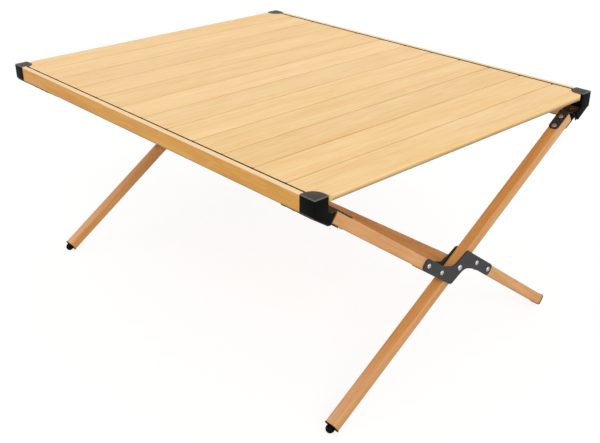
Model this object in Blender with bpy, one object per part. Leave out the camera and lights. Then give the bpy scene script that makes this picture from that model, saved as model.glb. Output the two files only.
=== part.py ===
"""Folding camp table: a roll-up top of twelve slats, laid between two rails on scissor legs.

Run with: blender --background --python part.py
Metres, +Z up. X runs along the rails, Y along the slats, the floor is at Z = 0.
Side a is at -Y and side b at +Y. The near frame is at +X and the far frame at -X.
"""
import bpy
import bmesh
from math import acos, asin, atan2, cos, hypot, pi, sin
from mathutils import Matrix, Vector

# Whole table
TABLE_LENGTH = 0.881
TABLE_WIDTH = 0.700
TABLE_HEIGHT = 0.440
FIT_GAP = 0.0003          # between pieces that touch
SET_IN = 0.0001           # how far a fixed head sinks into its plate

# Rails and their hinges
RAIL_WALL = 0.002
RAIL_FACE = 0.028         # height of the outer face
LIP_WIDTH = 0.009
LIP_BEVEL = 0.002
SHELF_DROP = 0.0113       # from the rail's top to the shelf that the slats lie on
SHELF_REACH = 0.047       # from the outer face to the shelf's inner edge
SHELF_THICKNESS = 0.0023
BOX_WIDTH = 0.026
BEAK_TIP = (0.031, 0.049)     # lower corner of the slanted foot: in from the face, down
BEAK_NOSE = (0.040, 0.034)    # upper corner of the slanted foot
BEAK_ROOT_DROP = 0.024
PIN_INSET = 0.031         # hinge axis, in from the outer face
PIN_DROP = 0.0385         # hinge axis, down from the rail's top
PIN_RADIUS = 0.003

# End caps
CAP_LENGTH = 0.0312
CAP_DEPTH = 0.027
CAP_CORNER = 0.020
CAP_PROUD = 0.0005
CAP_CHEEK = 0.0045
CAP_SPIGOT = 0.022
CAP_EDGE = 0.0015

# Hinge brackets under the rails
BRACKET_THICKNESS = 0.0022
BRACKET_LENGTH = 0.1157
BRACKET_DEPTH = 0.034
EAR_RADIUS = 0.006
EAR_GAP = 0.001           # from an ear to the leg's outer side

# Legs
LEG_CENTRE_X = 0.4225
LEG_WIDTH = 0.021
LEG_DEPTH = 0.020
LEG_CORNER = 0.003
LEG_WALL = 0.0015
LEG_OFFSET = 0.022        # each half of leg a stands this far off the pivot line
LEG_SPLIT = 0.028         # where the halves of leg a start, from the pivot
PIVOT_HEIGHT = 0.200
STRETCHER_SIZE = 0.020

# Steel joint plates and their rivets, in the frame of leg a
PLATE_THICKNESS = 0.0025
PLATE_ARM = 0.102
PLATE_WEB = 0.016
RIVET_STEPS = (0.045, 0.090)
RIVET_SHANK = 0.0024
RIVET_HEAD = 0.0045
RIVET_HEAD_HEIGHT = 0.0022
PIVOT_SHANK = 0.003
PIVOT_HEAD = 0.0055
PIVOT_HEAD_HEIGHT = 0.0028
PIVOT_THREAD = 0.012

# Leg straps
STRAP_THICKNESS = 0.002
STRAP_WIDTH = 0.020
STRAP_LENGTH = 0.061
STRAP_BEND = 0.014        # from the hinge axis to where the strap leaves the leg
STRAP_BOLTS = (0.027, 0.050)
EYE_DROP = 0.006          # hinge axis below the leg's centre line
EYE_RADIUS = 0.0045       # centre line of the rolled eye
LEG_TOP_GAP = 0.0155      # from the hinge axis to the leg's end

# Foot plugs
FOOT_FLANGE = 0.002
FOOT_LIP = 0.0008
FOOT_SPIGOT = 0.018
KNOB_RADIUS = 0.008
KNOB_OUT = 0.005
KNOB_FLAT = 0.0005

# Slats
SLAT_COUNT = 12
SLAT_THICKNESS = 0.010
SLAT_RECESS = 0.001       # top face below the top of the rails
SLAT_END_GAP = 0.0025
SLAT_WALL = 0.0012
SLAT_EDGE = 0.0008
SLAT_END_BEVEL = 0.003
SLAT_CAP_GAP = 0.0023     # round the caps, at the corners of the two end slats
SLAT_CORNER = 0.008
CORD_HOLE_Y = 0.230
CORD_HOLE_RADIUS = 0.0025

HALF_LENGTH = TABLE_LENGTH / 2
HALF_WIDTH = TABLE_WIDTH / 2
PIN_Y = HALF_WIDTH - PIN_INSET
PIN_Z = TABLE_HEIGHT - PIN_DROP
CAP_START = HALF_LENGTH - CAP_LENGTH
RAIL_END = CAP_START - FIT_GAP
PIN_REACH = hypot(PIN_Y, PIN_Z - PIVOT_HEIGHT)
PIN_ANGLE = atan2(PIN_Z - PIVOT_HEIGHT, PIN_Y)
TILT_A = PIN_ANGLE + asin((LEG_OFFSET + EYE_DROP) / PIN_REACH)
TILT_B = PIN_ANGLE + asin(EYE_DROP / PIN_REACH)
LEG_INNER_X = LEG_CENTRE_X - LEG_WIDTH / 2
LEG_OUTER_X = LEG_CENTRE_X + LEG_WIDTH / 2
EAR_INNER_X = CAP_START
EAR_OUTER_X = LEG_OUTER_X + EAR_GAP / 2
SLAT_PITCH = 2 * (HALF_LENGTH - CAP_PROUD) / SLAT_COUNT
SLAT_HALF_LENGTH = HALF_WIDTH - LIP_WIDTH - SLAT_END_GAP
PIVOT = Vector((0, 0, PIVOT_HEIGHT))


def clear_scene():
    for old in list(bpy.data.objects):
        bpy.data.objects.remove(old, do_unlink=True)


def make_material(name, colour, roughness, metallic):
    material = bpy.data.materials.new(name)
    material.use_nodes = True
    shader = material.node_tree.nodes["Principled BSDF"]
    shader.inputs["Base Color"].default_value = (*colour, 1)
    shader.inputs["Roughness"].default_value = roughness
    shader.inputs["Metallic"].default_value = metallic
    material.diffuse_color = (*colour, 1)
    return material


def face_outwards(mesh):
    """Point every face of a closed mesh outwards, which a mirror or a turn can upset."""
    mesh.normal_update()
    bmesh.ops.recalc_face_normals(mesh, faces=mesh.faces)
    if mesh.calc_volume(signed=True) < 0:
        bmesh.ops.reverse_faces(mesh, faces=mesh.faces)
    return mesh


def section_prism(outer, holes, start, end):
    """Extrude an outline, given as (y, z) points with holes, from X = start to X = end."""
    mesh = bmesh.new()
    edges = []
    for loop in [outer, *holes]:
        corners = [mesh.verts.new((start, y, z)) for y, z in loop]
        for index, corner in enumerate(corners):
            edges.append(mesh.edges.new((corners[index - 1], corner)))
    bmesh.ops.triangle_fill(mesh, use_beauty=True, edges=edges)
    grown = bmesh.ops.extrude_face_region(mesh, geom=mesh.faces[:])
    moved = [item for item in grown["geom"] if isinstance(item, bmesh.types.BMVert)]
    bmesh.ops.translate(mesh, vec=(end - start, 0, 0), verts=moved)
    return face_outwards(mesh)


def turned(mesh, swap):
    """Send the X, Y and Z of a mesh to the three given vectors."""
    matrix = Matrix((swap[0], swap[1], swap[2])).transposed().to_4x4()
    mesh.transform(matrix)
    return face_outwards(mesh)


def rounded_rectangle(width, depth, radius, steps=3):
    points = []
    for corner in range(4):
        across = (width / 2 - radius) * (1 if corner in (0, 3) else -1)
        along = (depth / 2 - radius) * (1 if corner in (0, 1) else -1)
        for step in range(steps + 1):
            angle = (corner + step / steps) * pi / 2
            points.append((across + radius * cos(angle), along + radius * sin(angle)))
    return points


def arc(centre, radius, start, end, steps):
    return [(centre[0] + radius * cos(start + (end - start) * step / steps),
             centre[1] + radius * sin(start + (end - start) * step / steps))
            for step in range(steps + 1)]


def inset(points, distance):
    """Move every side of a counter-clockwise outline inwards by the same distance."""
    lines = []
    for index, point in enumerate(points):
        first, second = Vector(point), Vector(points[(index + 1) % len(points)])
        along = (second - first).normalized()
        lines.append((first + distance * Vector((-along.y, along.x)), along))
    moved = []
    for index, (base, along) in enumerate(lines):
        before, before_along = lines[index - 1]
        share = (base - before).cross(along) / before_along.cross(along)
        moved.append(tuple(before + share * before_along))
    return moved


def rod(radius, start, end, sides=12):
    """A round bar along X."""
    outline = [(radius * cos(2 * pi * k / sides), radius * sin(2 * pi * k / sides)) for k in range(sides)]
    return section_prism(outline, [], start, end)


def rivet(shank, head, head_height, start, end, sides=12):
    """A turned rivet or bolt along X, with a domed head outside each given end that has one."""
    profile = [(start[0], 0.0)]
    if start[1]:
        profile = [(start[0] - head_height, 0.0), (start[0] - head_height, 0.5 * head),
                   (start[0] - 0.45 * head_height, 0.88 * head), (start[0], head)]
    profile += [(start[0], shank), (end[0], shank)]
    if end[1]:
        profile += [(end[0], head), (end[0] + 0.45 * head_height, 0.88 * head),
                    (end[0] + head_height, 0.5 * head), (end[0] + head_height, 0.0)]
    else:
        profile.append((end[0], 0.0))
    mesh = bmesh.new()
    corners = [mesh.verts.new((x, r, 0)) for x, r in profile]
    edges = [mesh.edges.new(pair) for pair in zip(corners, corners[1:])]
    bmesh.ops.spin(mesh, geom=corners + edges, cent=(0, 0, 0), axis=(1, 0, 0),
                   angle=2 * pi, steps=sides)
    bmesh.ops.remove_doubles(mesh, verts=mesh.verts, dist=0.00001)
    return face_outwards(mesh)


def shifted(mesh, offset):
    bmesh.ops.translate(mesh, vec=offset, verts=mesh.verts)
    return mesh


def mirrored(mesh, end=1, side=1):
    """Send a piece built for the near end and side b to another end or side."""
    mesh.transform(Matrix.Diagonal((end, side, 1, 1)))
    return face_outwards(mesh)


def as_data(mesh, name):
    data = bpy.data.meshes.new(name)
    mesh.to_mesh(data)
    mesh.free()
    return data


def combine(base, others, operation):
    """Boolean a list of meshes into or out of a base mesh, and hand back the result."""
    body = bpy.data.objects.new("body", as_data(base, "body"))
    bpy.context.collection.objects.link(body)
    tools = []
    for other in others:
        tool = bpy.data.objects.new("tool", as_data(other, "tool"))
        bpy.context.collection.objects.link(tool)
        tool.hide_render = True
        tool.display_type = "WIRE"
        step = body.modifiers.new("Boolean", "BOOLEAN")
        step.operation = operation
        step.solver = "EXACT"
        step.object = tool
        tools.append(tool)
    depsgraph = bpy.context.evaluated_depsgraph_get()
    result = bmesh.new()
    result.from_mesh(body.evaluated_get(depsgraph).to_mesh())
    for used in [body, *tools]:
        bpy.data.objects.remove(used, do_unlink=True)
    return result


def add_empty(name, position, parent=None):
    """An empty on a joint's axis."""
    empty = bpy.data.objects.new(name, None)
    empty.empty_display_size = 0.03
    bpy.context.collection.objects.link(empty)
    empty.location = Vector(position) - (Vector(parent["at"]) if parent else Vector())
    empty["at"] = tuple(position)
    empty.parent = parent
    return empty


def add_piece(name, mesh, material, parent, smooth=False):
    """Name a finished mesh, give it its material and hang it on its joint's empty."""
    origin = Vector(parent["at"])
    data = mesh
    if isinstance(mesh, bmesh.types.BMesh):
        shifted(mesh, -origin)
        data = as_data(mesh, name)
    if not data.materials:
        data.materials.append(material)
    if smooth:
        data.shade_smooth()
        data.set_sharp_from_angle(angle=pi / 5)
    piece = bpy.data.objects.new(name, data)
    bpy.context.collection.objects.link(piece)
    piece.parent = parent
    return piece


def rail_outline():
    """Section of the rail on side b: lip, shelf, box and the slanted foot, as (y, z)."""
    face, top = HALF_WIDTH, TABLE_HEIGHT
    return [
        (face - LIP_WIDTH, top - SHELF_DROP),
        (face - SHELF_REACH, top - SHELF_DROP),
        (face - SHELF_REACH, top - SHELF_DROP - SHELF_THICKNESS),
        (face - BOX_WIDTH, top - SHELF_DROP - SHELF_THICKNESS),
        (face - BOX_WIDTH, top - BEAK_ROOT_DROP),
        (face - BEAK_NOSE[0], top - BEAK_NOSE[1]),
        (face - BEAK_TIP[0], top - BEAK_TIP[1]),
        (face, top - RAIL_FACE),
        *arc((face - LIP_BEVEL, top - LIP_BEVEL), LIP_BEVEL, 0, pi / 2, 3),
        (face - LIP_WIDTH + LIP_BEVEL, top),
        (face - LIP_WIDTH, top - LIP_BEVEL),
    ]


def box_hole():
    """Hollow of the rail's box and lip, which the end cap's spigot enters."""
    face, top, wall = HALF_WIDTH, TABLE_HEIGHT, RAIL_WALL
    shelf = top - SHELF_DROP - wall
    return [
        (face - BOX_WIDTH + wall, shelf),
        (face - BOX_WIDTH + wall, top - BEAK_ROOT_DROP),
        (face - wall, top - RAIL_FACE + wall),
        (face - wall, top - wall),
        (face - LIP_WIDTH + wall, top - wall),
        (face - LIP_WIDTH + wall, shelf),
    ]


def beak_outline():
    """The slanted foot alone."""
    face, top = HALF_WIDTH, TABLE_HEIGHT
    return [
        (face - BOX_WIDTH, top - BEAK_ROOT_DROP),
        (face - BEAK_NOSE[0], top - BEAK_NOSE[1]),
        (face - BEAK_TIP[0], top - BEAK_TIP[1]),
        (face, top - RAIL_FACE),
    ]


def slant_axes():
    """Along the foot's slanted underside, outwards and up, and square out of it."""
    tip, face = Vector(beak_outline()[2]), Vector(beak_outline()[3])
    along = (face - tip).normalized()
    return tip, along, Vector((along.y, -along.x))


def bracket_rivet_places():
    """Where the bracket is riveted to the rail: X, and the way along the slant."""
    start = EAR_INNER_X + BRACKET_THICKNESS - 0.089
    return [(start + 0.014, 0.020), (start + 0.041, 0.020), (start + 0.068, 0.020)]


def along_slant(mesh, x, way, lift=0.0):
    """Turn a piece built along X so that it points into the slanted underside."""
    tip, along, out = slant_axes()
    turned(mesh, (Vector((0, -out.x, -out.y)), Vector((1, 0, 0)), Vector((0, along.x, along.y))))
    place = tip + way * along + lift * out
    return shifted(mesh, (x, place.x, place.y))


def make_rail(name, side, material, parent):
    wall = RAIL_WALL
    body = section_prism(rail_outline(), [box_hole(), inset(beak_outline(), wall)], -RAIL_END, RAIL_END)
    drills = []
    for x, way in bracket_rivet_places():
        for end in (1, -1):
            drill = rod(RIVET_SHANK + FIT_GAP, -0.002, 0.006)
            drills.append(mirrored(along_slant(drill, x, way), end=end))
    add_piece(name, mirrored(combine(body, drills, "DIFFERENCE"), side=side), material, parent)


def make_bracket(name, end, side, material, parent):
    """Steel plate riveted under the foot, with two ears that carry the hinge pin."""
    tip, along, out = slant_axes()
    inner, outer = EAR_INNER_X, EAR_OUTER_X + BRACKET_THICKNESS
    start = outer - BRACKET_LENGTH
    slot = 0.014
    ear = BRACKET_THICKNESS
    outline = [
        (start, 0.006), (start + 0.010, -0.001), (inner + ear, -0.001), (inner + ear, slot),
        (EAR_OUTER_X, slot), (EAR_OUTER_X, -0.001), (outer, -0.001), (outer, BRACKET_DEPTH),
        (start + 0.010, BRACKET_DEPTH), (start, BRACKET_DEPTH - 0.007),
    ]
    plate = section_prism(outline, [], FIT_GAP, FIT_GAP + ear)
    turned(plate, (Vector((0, out.x, out.y)), Vector((1, 0, 0)), Vector((0, along.x, along.y))))
    shifted(plate, (0, tip.x, tip.y))
    pin = Vector((PIN_Y, PIN_Z))
    lean = atan2(out.y, out.x)
    base = [tip - 0.001 * along, tip + 0.026 * along]
    low = [point + (FIT_GAP + ear / 2) * out for point in base]
    ears = []
    for x in (inner, EAR_OUTER_X):
        round_top = arc(pin, EAR_RADIUS, lean + pi * 0.62, lean + pi * 1.40, 6)
        shape = [tuple(low[1]), *round_top, tuple(low[0])]
        ears.append(section_prism(shape, [], x, x + ear))
    rivets = []
    for x, way in bracket_rivet_places():
        one = rivet(RIVET_SHANK, RIVET_HEAD, RIVET_HEAD_HEIGHT, (SET_IN - FIT_GAP - ear, True),
                    (0.004, False), 10)
        rivets.append(along_slant(one, x, way))
    whole = combine(plate, ears + rivets, "UNION")
    drill = shifted(rod(PIN_RADIUS + FIT_GAP, 0.3, 0.5), (0, pin.x, pin.y))
    add_piece(name, mirrored(combine(whole, [drill], "DIFFERENCE"), end, side), material, parent)


def make_hinge_pin(name, end, side, material, parent):
    pin = rod(PIN_RADIUS, EAR_INNER_X + FIT_GAP, EAR_OUTER_X + BRACKET_THICKNESS, 16)
    shifted(pin, (0, PIN_Y, PIN_Z))
    add_piece(name, mirrored(pin, end, side), material, parent, smooth=True)


def make_cap(name, end, side, material, parent):
    """Moulded cap: a block with a rounded inner corner, a cheek over the hinge, and a spigot."""
    face, top = HALF_WIDTH + CAP_PROUD, TABLE_HEIGHT + CAP_PROUD
    low = TABLE_HEIGHT - RAIL_FACE - CAP_PROUD
    inner = face - CAP_PROUD - CAP_DEPTH
    footprint = [
        (HALF_LENGTH, inner), (HALF_LENGTH, face), (CAP_START, face),
        *arc((CAP_START + CAP_CORNER, inner + CAP_CORNER), CAP_CORNER, pi, 1.5 * pi, 6),
    ]
    block = section_prism(footprint, [], low, top)
    turned(block, (Vector((0, 0, 1)), Vector((1, 0, 0)), Vector((0, 1, 0))))
    crisp = [edge for edge in block.edges if edge.is_manifold
             and edge.calc_face_angle(0) > 1 and all(vert.co.y > inner + 0.0005 or vert.co.z > top - 0.0001
                                                     for vert in edge.verts)]
    bmesh.ops.bevel(block, geom=crisp, offset=CAP_EDGE, segments=2, affect="EDGES", profile=0.5)
    beak = beak_outline()
    cheek = [
        (inner + 0.001, TABLE_HEIGHT - BEAK_ROOT_DROP + 0.004), beak[0],
        (beak[1][0], beak[1][1]), (beak[2][0], beak[2][1]),
        (HALF_WIDTH - 0.0005, low + 0.0004), (HALF_WIDTH - 0.006, TABLE_HEIGHT - BEAK_ROOT_DROP + 0.004),
    ]
    spigot = section_prism(inset(box_hole(), 0.0004), [], CAP_START - CAP_SPIGOT, CAP_START + 0.003)
    parts = [section_prism(cheek, [], HALF_LENGTH - CAP_CHEEK, HALF_LENGTH - 0.0004), spigot]
    cap = combine(block, parts, "UNION")
    add_piece(name, mirrored(cap, end, side), material, parent)


def frame_matrix(tilt, side):
    """Leg space to world: X stays, Y runs up the leg towards its rail, Z is square to it."""
    up = Vector((0, side * cos(tilt), sin(tilt)))
    square = Vector((0, -side * sin(tilt), cos(tilt)))
    turn = Matrix((Vector((1, 0, 0)), up, square)).transposed().to_4x4()
    return Matrix.Translation(PIVOT) @ turn


def in_leg(mesh, tilt, side, end):
    mesh.transform(Matrix.Diagonal((end, 1, 1, 1)))
    mesh.transform(frame_matrix(tilt, side))
    return face_outwards(mesh)


def leg_bar(low, high, offset, radius=LEG_CORNER):
    """Hollow leg tube between two distances from the pivot, with its centre off the pivot line."""
    outer = rounded_rectangle(LEG_WIDTH, LEG_DEPTH, radius)
    hole = rounded_rectangle(LEG_WIDTH - 2 * LEG_WALL, LEG_DEPTH - 2 * LEG_WALL, radius - LEG_WALL)
    bar = section_prism(outer, [hole], low, high)
    turned(bar, (Vector((0, 1, 0)), Vector((1, 0, 0)), Vector((0, 0, 1))))
    return shifted(bar, (LEG_CENTRE_X, 0, offset))


def across_drill(radius, way, offset):
    """A drill through both X sides of a leg."""
    return shifted(rod(radius, 0.39, 0.45), (0, way, offset))


def square_drill(radius, way, offset):
    """A drill through the two faces that the straps lie on."""
    drill = turned(rod(radius, -0.02, 0.02), (Vector((0, 0, 1)), Vector((1, 0, 0)), Vector((0, 1, 0))))
    return shifted(drill, (LEG_CENTRE_X, way, offset))


def top_way(offset):
    """Distance from the pivot, along the leg, to the foot of the hinge axis."""
    drop = EYE_DROP - min(offset, 0)
    return (PIN_REACH ** 2 - drop ** 2) ** 0.5


def foot_way(tilt, offset):
    """Distance from the pivot, along the leg, to the end face at the foot."""
    end_height = KNOB_RADIUS - KNOB_FLAT + KNOB_OUT * sin(tilt)
    return (PIVOT_HEIGHT + offset * cos(tilt) - end_height) / sin(tilt)


def make_leg(name, low, high, offset, tilt, side, end, pivoted, material, parent):
    bar = leg_bar(low, high, offset)
    drills = []
    if high > LEG_SPLIT:
        top = high + LEG_TOP_GAP
        drills += [square_drill(RIVET_SHANK + FIT_GAP, top - way, offset) for way in STRAP_BOLTS]
    if pivoted:
        drills.append(across_drill(PIVOT_SHANK + FIT_GAP, 0, 0))
    else:
        away = 1 if offset < 0 else -1
        drills += [across_drill(RIVET_SHANK + FIT_GAP, away * way, offset) for way in RIVET_STEPS]
    add_piece(name, in_leg(combine(bar, drills, "DIFFERENCE"), tilt, side, end), material, parent)


def make_foot(name, way, offset, tilt, side, end, material, parent):
    """Plug in the lower end of a leg: spigot, flange and a knob ground flat at the floor."""
    flange = section_prism(
        rounded_rectangle(LEG_WIDTH + 2 * FOOT_LIP, LEG_DEPTH + 2 * FOOT_LIP, LEG_CORNER + FOOT_LIP),
        [], -way - FOOT_FLANGE, -way - FIT_GAP)
    hole = (LEG_WIDTH - 2 * LEG_WALL - 2 * FIT_GAP, LEG_DEPTH - 2 * LEG_WALL - 2 * FIT_GAP)
    spigot = section_prism(rounded_rectangle(*hole, LEG_CORNER - LEG_WALL), [],
                           -way - FOOT_FLANGE / 2, -way + FOOT_SPIGOT)
    for part in (flange, spigot):
        turned(part, (Vector((0, 1, 0)), Vector((1, 0, 0)), Vector((0, 0, 1))))
        shifted(part, (LEG_CENTRE_X, 0, offset))
    knob = bmesh.new()
    bmesh.ops.create_uvsphere(knob, u_segments=16, v_segments=10, radius=KNOB_RADIUS)
    turned(knob, (Vector((1, 0, 0)), Vector((0, 0, 1)), Vector((0, -1, 0))))
    shifted(knob, (LEG_CENTRE_X, -way - KNOB_OUT, offset))
    foot = in_leg(combine(flange, [spigot, knob], "UNION"), tilt, side, end)
    cut = bmesh.ops.bisect_plane(foot, geom=foot.verts[:] + foot.edges[:] + foot.faces[:],
                                 plane_co=(0, 0, 0), plane_no=(0, 0, -1), clear_outer=True)
    rim = [item for item in cut["geom_cut"] if isinstance(item, bmesh.types.BMEdge)]
    bmesh.ops.contextual_create(foot, geom=rim)
    add_piece(name, face_outwards(foot), material, parent, smooth=True)


def strap_path():
    """Centre line of a strap from the hinge axis: along the upper side, round the pin, and back."""
    side = LEG_DEPTH / 2 + FIT_GAP + STRAP_THICKNESS / 2
    eye = Vector((0, -EYE_DROP))
    upper, lower = Vector((-STRAP_BEND, side)), Vector((-STRAP_BEND, -side))
    leave = atan2(*reversed(upper - eye)) - acos(EYE_RADIUS / (upper - eye).length)
    back = atan2(*reversed(lower - eye)) + acos(EYE_RADIUS / (lower - eye).length)
    return [(-STRAP_LENGTH, side), tuple(upper), *arc(eye, EYE_RADIUS, leave, back, 9), tuple(lower),
            (-STRAP_LENGTH, -side)]


def thickened(path, thickness):
    """Closed outline of a bent strip, from its centre line."""
    points = [Vector(point) for point in path]
    left, right = [], []
    for index, point in enumerate(points):
        before = (point - points[index - 1]).normalized() if index else None
        after = (points[index + 1] - point).normalized() if index + 1 < len(points) else None
        along = ((before or after) + (after or before)).normalized()
        square = Vector((-along.y, along.x))
        reach = thickness / 2 / max(square.dot(Vector((-(after or before).y, (after or before).x))), 0.5)
        left.append(tuple(point + reach * square))
        right.append(tuple(point - reach * square))
    return left + right[::-1]


def make_strap(name, top, offset, tilt, side, end, material, parent):
    """One steel strap, folded round the hinge pin, with the two bolts that hold it to the leg's end."""
    outline = thickened(strap_path(), STRAP_THICKNESS)
    strap = section_prism(outline, [], -STRAP_WIDTH / 2, STRAP_WIDTH / 2)
    ends = [edge for edge in strap.edges
            if all(vert.co.y < -STRAP_LENGTH + 0.0001 for vert in edge.verts)
            and abs(edge.verts[0].co.x - edge.verts[1].co.x) < 0.0001]
    bmesh.ops.bevel(strap, geom=ends, offset=0.007, segments=3, affect="EDGES", profile=0.5)
    shifted(strap, (LEG_CENTRE_X, top, offset))
    reach = LEG_DEPTH / 2 + FIT_GAP + STRAP_THICKNESS - SET_IN
    bolts = []
    for way in STRAP_BOLTS:
        bolt = rivet(RIVET_SHANK, RIVET_HEAD, RIVET_HEAD_HEIGHT, (-reach, True), (reach, True), 10)
        turned(bolt, (Vector((0, 0, 1)), Vector((1, 0, 0)), Vector((0, 1, 0))))
        bolts.append(shifted(bolt, (LEG_CENTRE_X, top - way, offset)))
    add_piece(name, in_leg(combine(strap, bolts, "UNION"), tilt, side, end), material, parent)


def plate_outline():
    """Joint plate in leg space: two arms over the halves of leg a, joined by a web at the pivot."""
    half = LEG_DEPTH / 2 + 0.001
    near, far = LEG_OFFSET - half, LEG_OFFSET + half
    tip = PLATE_ARM - 0.008
    lean = 0.0035
    arm = [
        (PLATE_WEB - 0.003, 0.004), (PLATE_WEB + 0.003, -0.002), (PLATE_WEB + 0.008, -0.005),
        (PLATE_WEB + 0.032, -near), *arc((tip, -near - 0.008), 0.008, pi / 2, 0, 3),
        *arc((tip, -far + 0.008), 0.008, 0, -pi / 2, 3), (lean, -far), (lean - 0.004, -far + 0.003),
    ]
    return arm + [(-way, -square) for way, square in arm]


def make_plate(name, start, tilt, side, end, material, parent):
    plate = section_prism(plate_outline(), [], start, start + PLATE_THICKNESS)
    drills = [across_drill(PIVOT_SHANK + FIT_GAP, 0, 0)]
    for way in RIVET_STEPS:
        drills.append(across_drill(RIVET_SHANK + FIT_GAP, way, -LEG_OFFSET))
        drills.append(across_drill(RIVET_SHANK + FIT_GAP, -way, LEG_OFFSET))
    add_piece(name, in_leg(combine(plate, drills, "DIFFERENCE"), tilt, side, end), material, parent)


def plate_starts():
    """Inner faces of the inner and the outer joint plate."""
    return LEG_INNER_X - FIT_GAP - PLATE_THICKNESS, LEG_OUTER_X + FIT_GAP


def make_plate_rivets(where, end, material, parent):
    """Four rivets through both plates and the halves of leg a, numbered from its top to its foot."""
    inner, outer = plate_starts()
    places = [(way, -LEG_OFFSET) for way in reversed(RIVET_STEPS)]
    places += [(-way, LEG_OFFSET) for way in RIVET_STEPS]
    for number, (way, offset) in enumerate(places, 1):
        one = rivet(RIVET_SHANK, RIVET_HEAD, RIVET_HEAD_HEIGHT, (inner - FIT_GAP, True),
                    (outer + PLATE_THICKNESS + FIT_GAP, True), 10)
        shifted(one, (0, way, offset))
        add_piece(f"plate_rivet_{where}_{number}", in_leg(one, TILT_A, -1, end), material, parent,
                  smooth=True)


def make_pivot_bolt(name, end, material, parent):
    """Bolt on the pivot axis, through both plates and leg b into the stretcher's plug."""
    inner, outer = plate_starts()
    tip = inner - FIT_GAP - PIVOT_THREAD
    bolt = rivet(PIVOT_SHANK, PIVOT_HEAD, PIVOT_HEAD_HEIGHT, (tip, False),
                 (outer + PLATE_THICKNESS + FIT_GAP, True), 16)
    shifted(bolt, tuple(PIVOT))
    add_piece(name, mirrored(bolt, end), material, parent, smooth=True)


def stretcher_end():
    return plate_starts()[0] - FIT_GAP


def make_stretcher(material, parent):
    size, hole = STRETCHER_SIZE, STRETCHER_SIZE - 2 * LEG_WALL
    reach = stretcher_end() - 0.0025
    bar = section_prism(rounded_rectangle(size, size, LEG_CORNER),
                        [rounded_rectangle(hole, hole, LEG_CORNER - LEG_WALL)], -reach, reach)
    add_piece("stretcher", shifted(bar, tuple(PIVOT)), material, parent)


def make_stretcher_plug(name, end, material, parent):
    """Plug that closes the stretcher and takes the pivot bolt's thread."""
    reach = stretcher_end()
    hole = STRETCHER_SIZE - 2 * LEG_WALL - 2 * FIT_GAP
    flange = section_prism(rounded_rectangle(STRETCHER_SIZE, STRETCHER_SIZE, LEG_CORNER), [],
                           reach - 0.0022, reach)
    body = section_prism(rounded_rectangle(hole, hole, LEG_CORNER - LEG_WALL), [],
                         reach - 0.018, reach - 0.001)
    plug = combine(flange, [body], "UNION")
    drilled = combine(plug, [rod(PIVOT_SHANK + FIT_GAP, reach - PIVOT_THREAD - 0.001, reach + 0.01)],
                      "DIFFERENCE")
    add_piece(name, mirrored(shifted(drilled, tuple(PIVOT)), end), material, parent)


def cap_clearance(half):
    """Plan of what an end slat leaves free for the rail's cap, from the slat's own centre line."""
    inner = HALF_WIDTH - CAP_DEPTH
    centre = (CAP_START + CAP_CORNER - (HALF_LENGTH - CAP_PROUD - half), inner + CAP_CORNER)
    low = inner - SLAT_CAP_GAP
    return [
        *arc(centre, CAP_CORNER + SLAT_CAP_GAP, pi, 1.5 * pi, 8),
        *arc((half - SLAT_CORNER, low - SLAT_CORNER), SLAT_CORNER, pi / 2, 0, 4),
        (half + SLAT_CORNER, low - SLAT_CORNER), (half + SLAT_CORNER, centre[1] + SLAT_CORNER),
        (centre[0] - CAP_CORNER - SLAT_CAP_GAP, centre[1] + SLAT_CORNER),
    ]


def slat_mesh(corner_side):
    """A hollow slat about its own centre, at the height of its top face; corner_side cuts an end slat."""
    width, thick, wall = SLAT_PITCH - FIT_GAP, SLAT_THICKNESS, SLAT_WALL
    half, edge = width / 2, SLAT_EDGE
    outer = [(-half, -thick), (half, -thick), (half, -edge), (half - edge, 0), (-half + edge, 0),
             (-half, -edge)]
    cell = (width - 4 * wall) / 3
    holes = []
    for index in range(3):
        start = -half + wall + index * (cell + wall)
        holes.append([(start, -thick + wall), (start + cell, -thick + wall),
                      (start + cell, -wall), (start, -wall)])
    slat = section_prism(outer, holes, -SLAT_HALF_LENGTH, SLAT_HALF_LENGTH)
    turned(slat, (Vector((0, 1, 0)), Vector((1, 0, 0)), Vector((0, 0, 1))))
    cutters = []
    for side in (1, -1):
        end, bevel = SLAT_HALF_LENGTH, SLAT_END_BEVEL
        wedge = [(side * (end + 0.001), -thick - 0.001), (side * (end - bevel - 0.001), -thick - 0.001),
                 (side * (end + 0.001), -thick + bevel + 0.001)]
        cutters.append(section_prism(wedge, [], -0.06, 0.06))
        cord = rod(CORD_HOLE_RADIUS, -0.06, 0.06, 10)
        cutters.append(shifted(cord, (0, side * CORD_HOLE_Y, -thick / 2)))
        if corner_side:
            corner = section_prism(cap_clearance(half), [], -thick - 0.01, 0.01)
            turned(corner, (Vector((0, 0, 1)), Vector((1, 0, 0)), Vector((0, 1, 0))))
            cutters.append(mirrored(corner, corner_side, side))
    return combine(slat, cutters, "DIFFERENCE")


def make_slats(material, lift):
    """Twelve slats, each hinged to the one before it at the upper edge of their joint."""
    half_pitch = SLAT_PITCH / 2
    top = TABLE_HEIGHT - SLAT_RECESS
    middle_data = None
    hinge = lift
    for index in range(SLAT_COUNT):
        left = (index - SLAT_COUNT / 2) * SLAT_PITCH
        if index:
            hinge = add_empty(f"slat_hinge_{index + 1:02d}", (left, 0, top), hinge)
        corner = {0: -1, SLAT_COUNT - 1: 1}.get(index, 0)
        name = f"slat_{index + 1:02d}"
        if corner or middle_data is None:
            mesh = shifted(slat_mesh(corner), (left + half_pitch, 0, top))
            piece = add_piece(name, mesh, material, hinge)
            middle_data = middle_data if corner else piece.data
        else:
            add_piece(name, middle_data, material, hinge)


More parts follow.
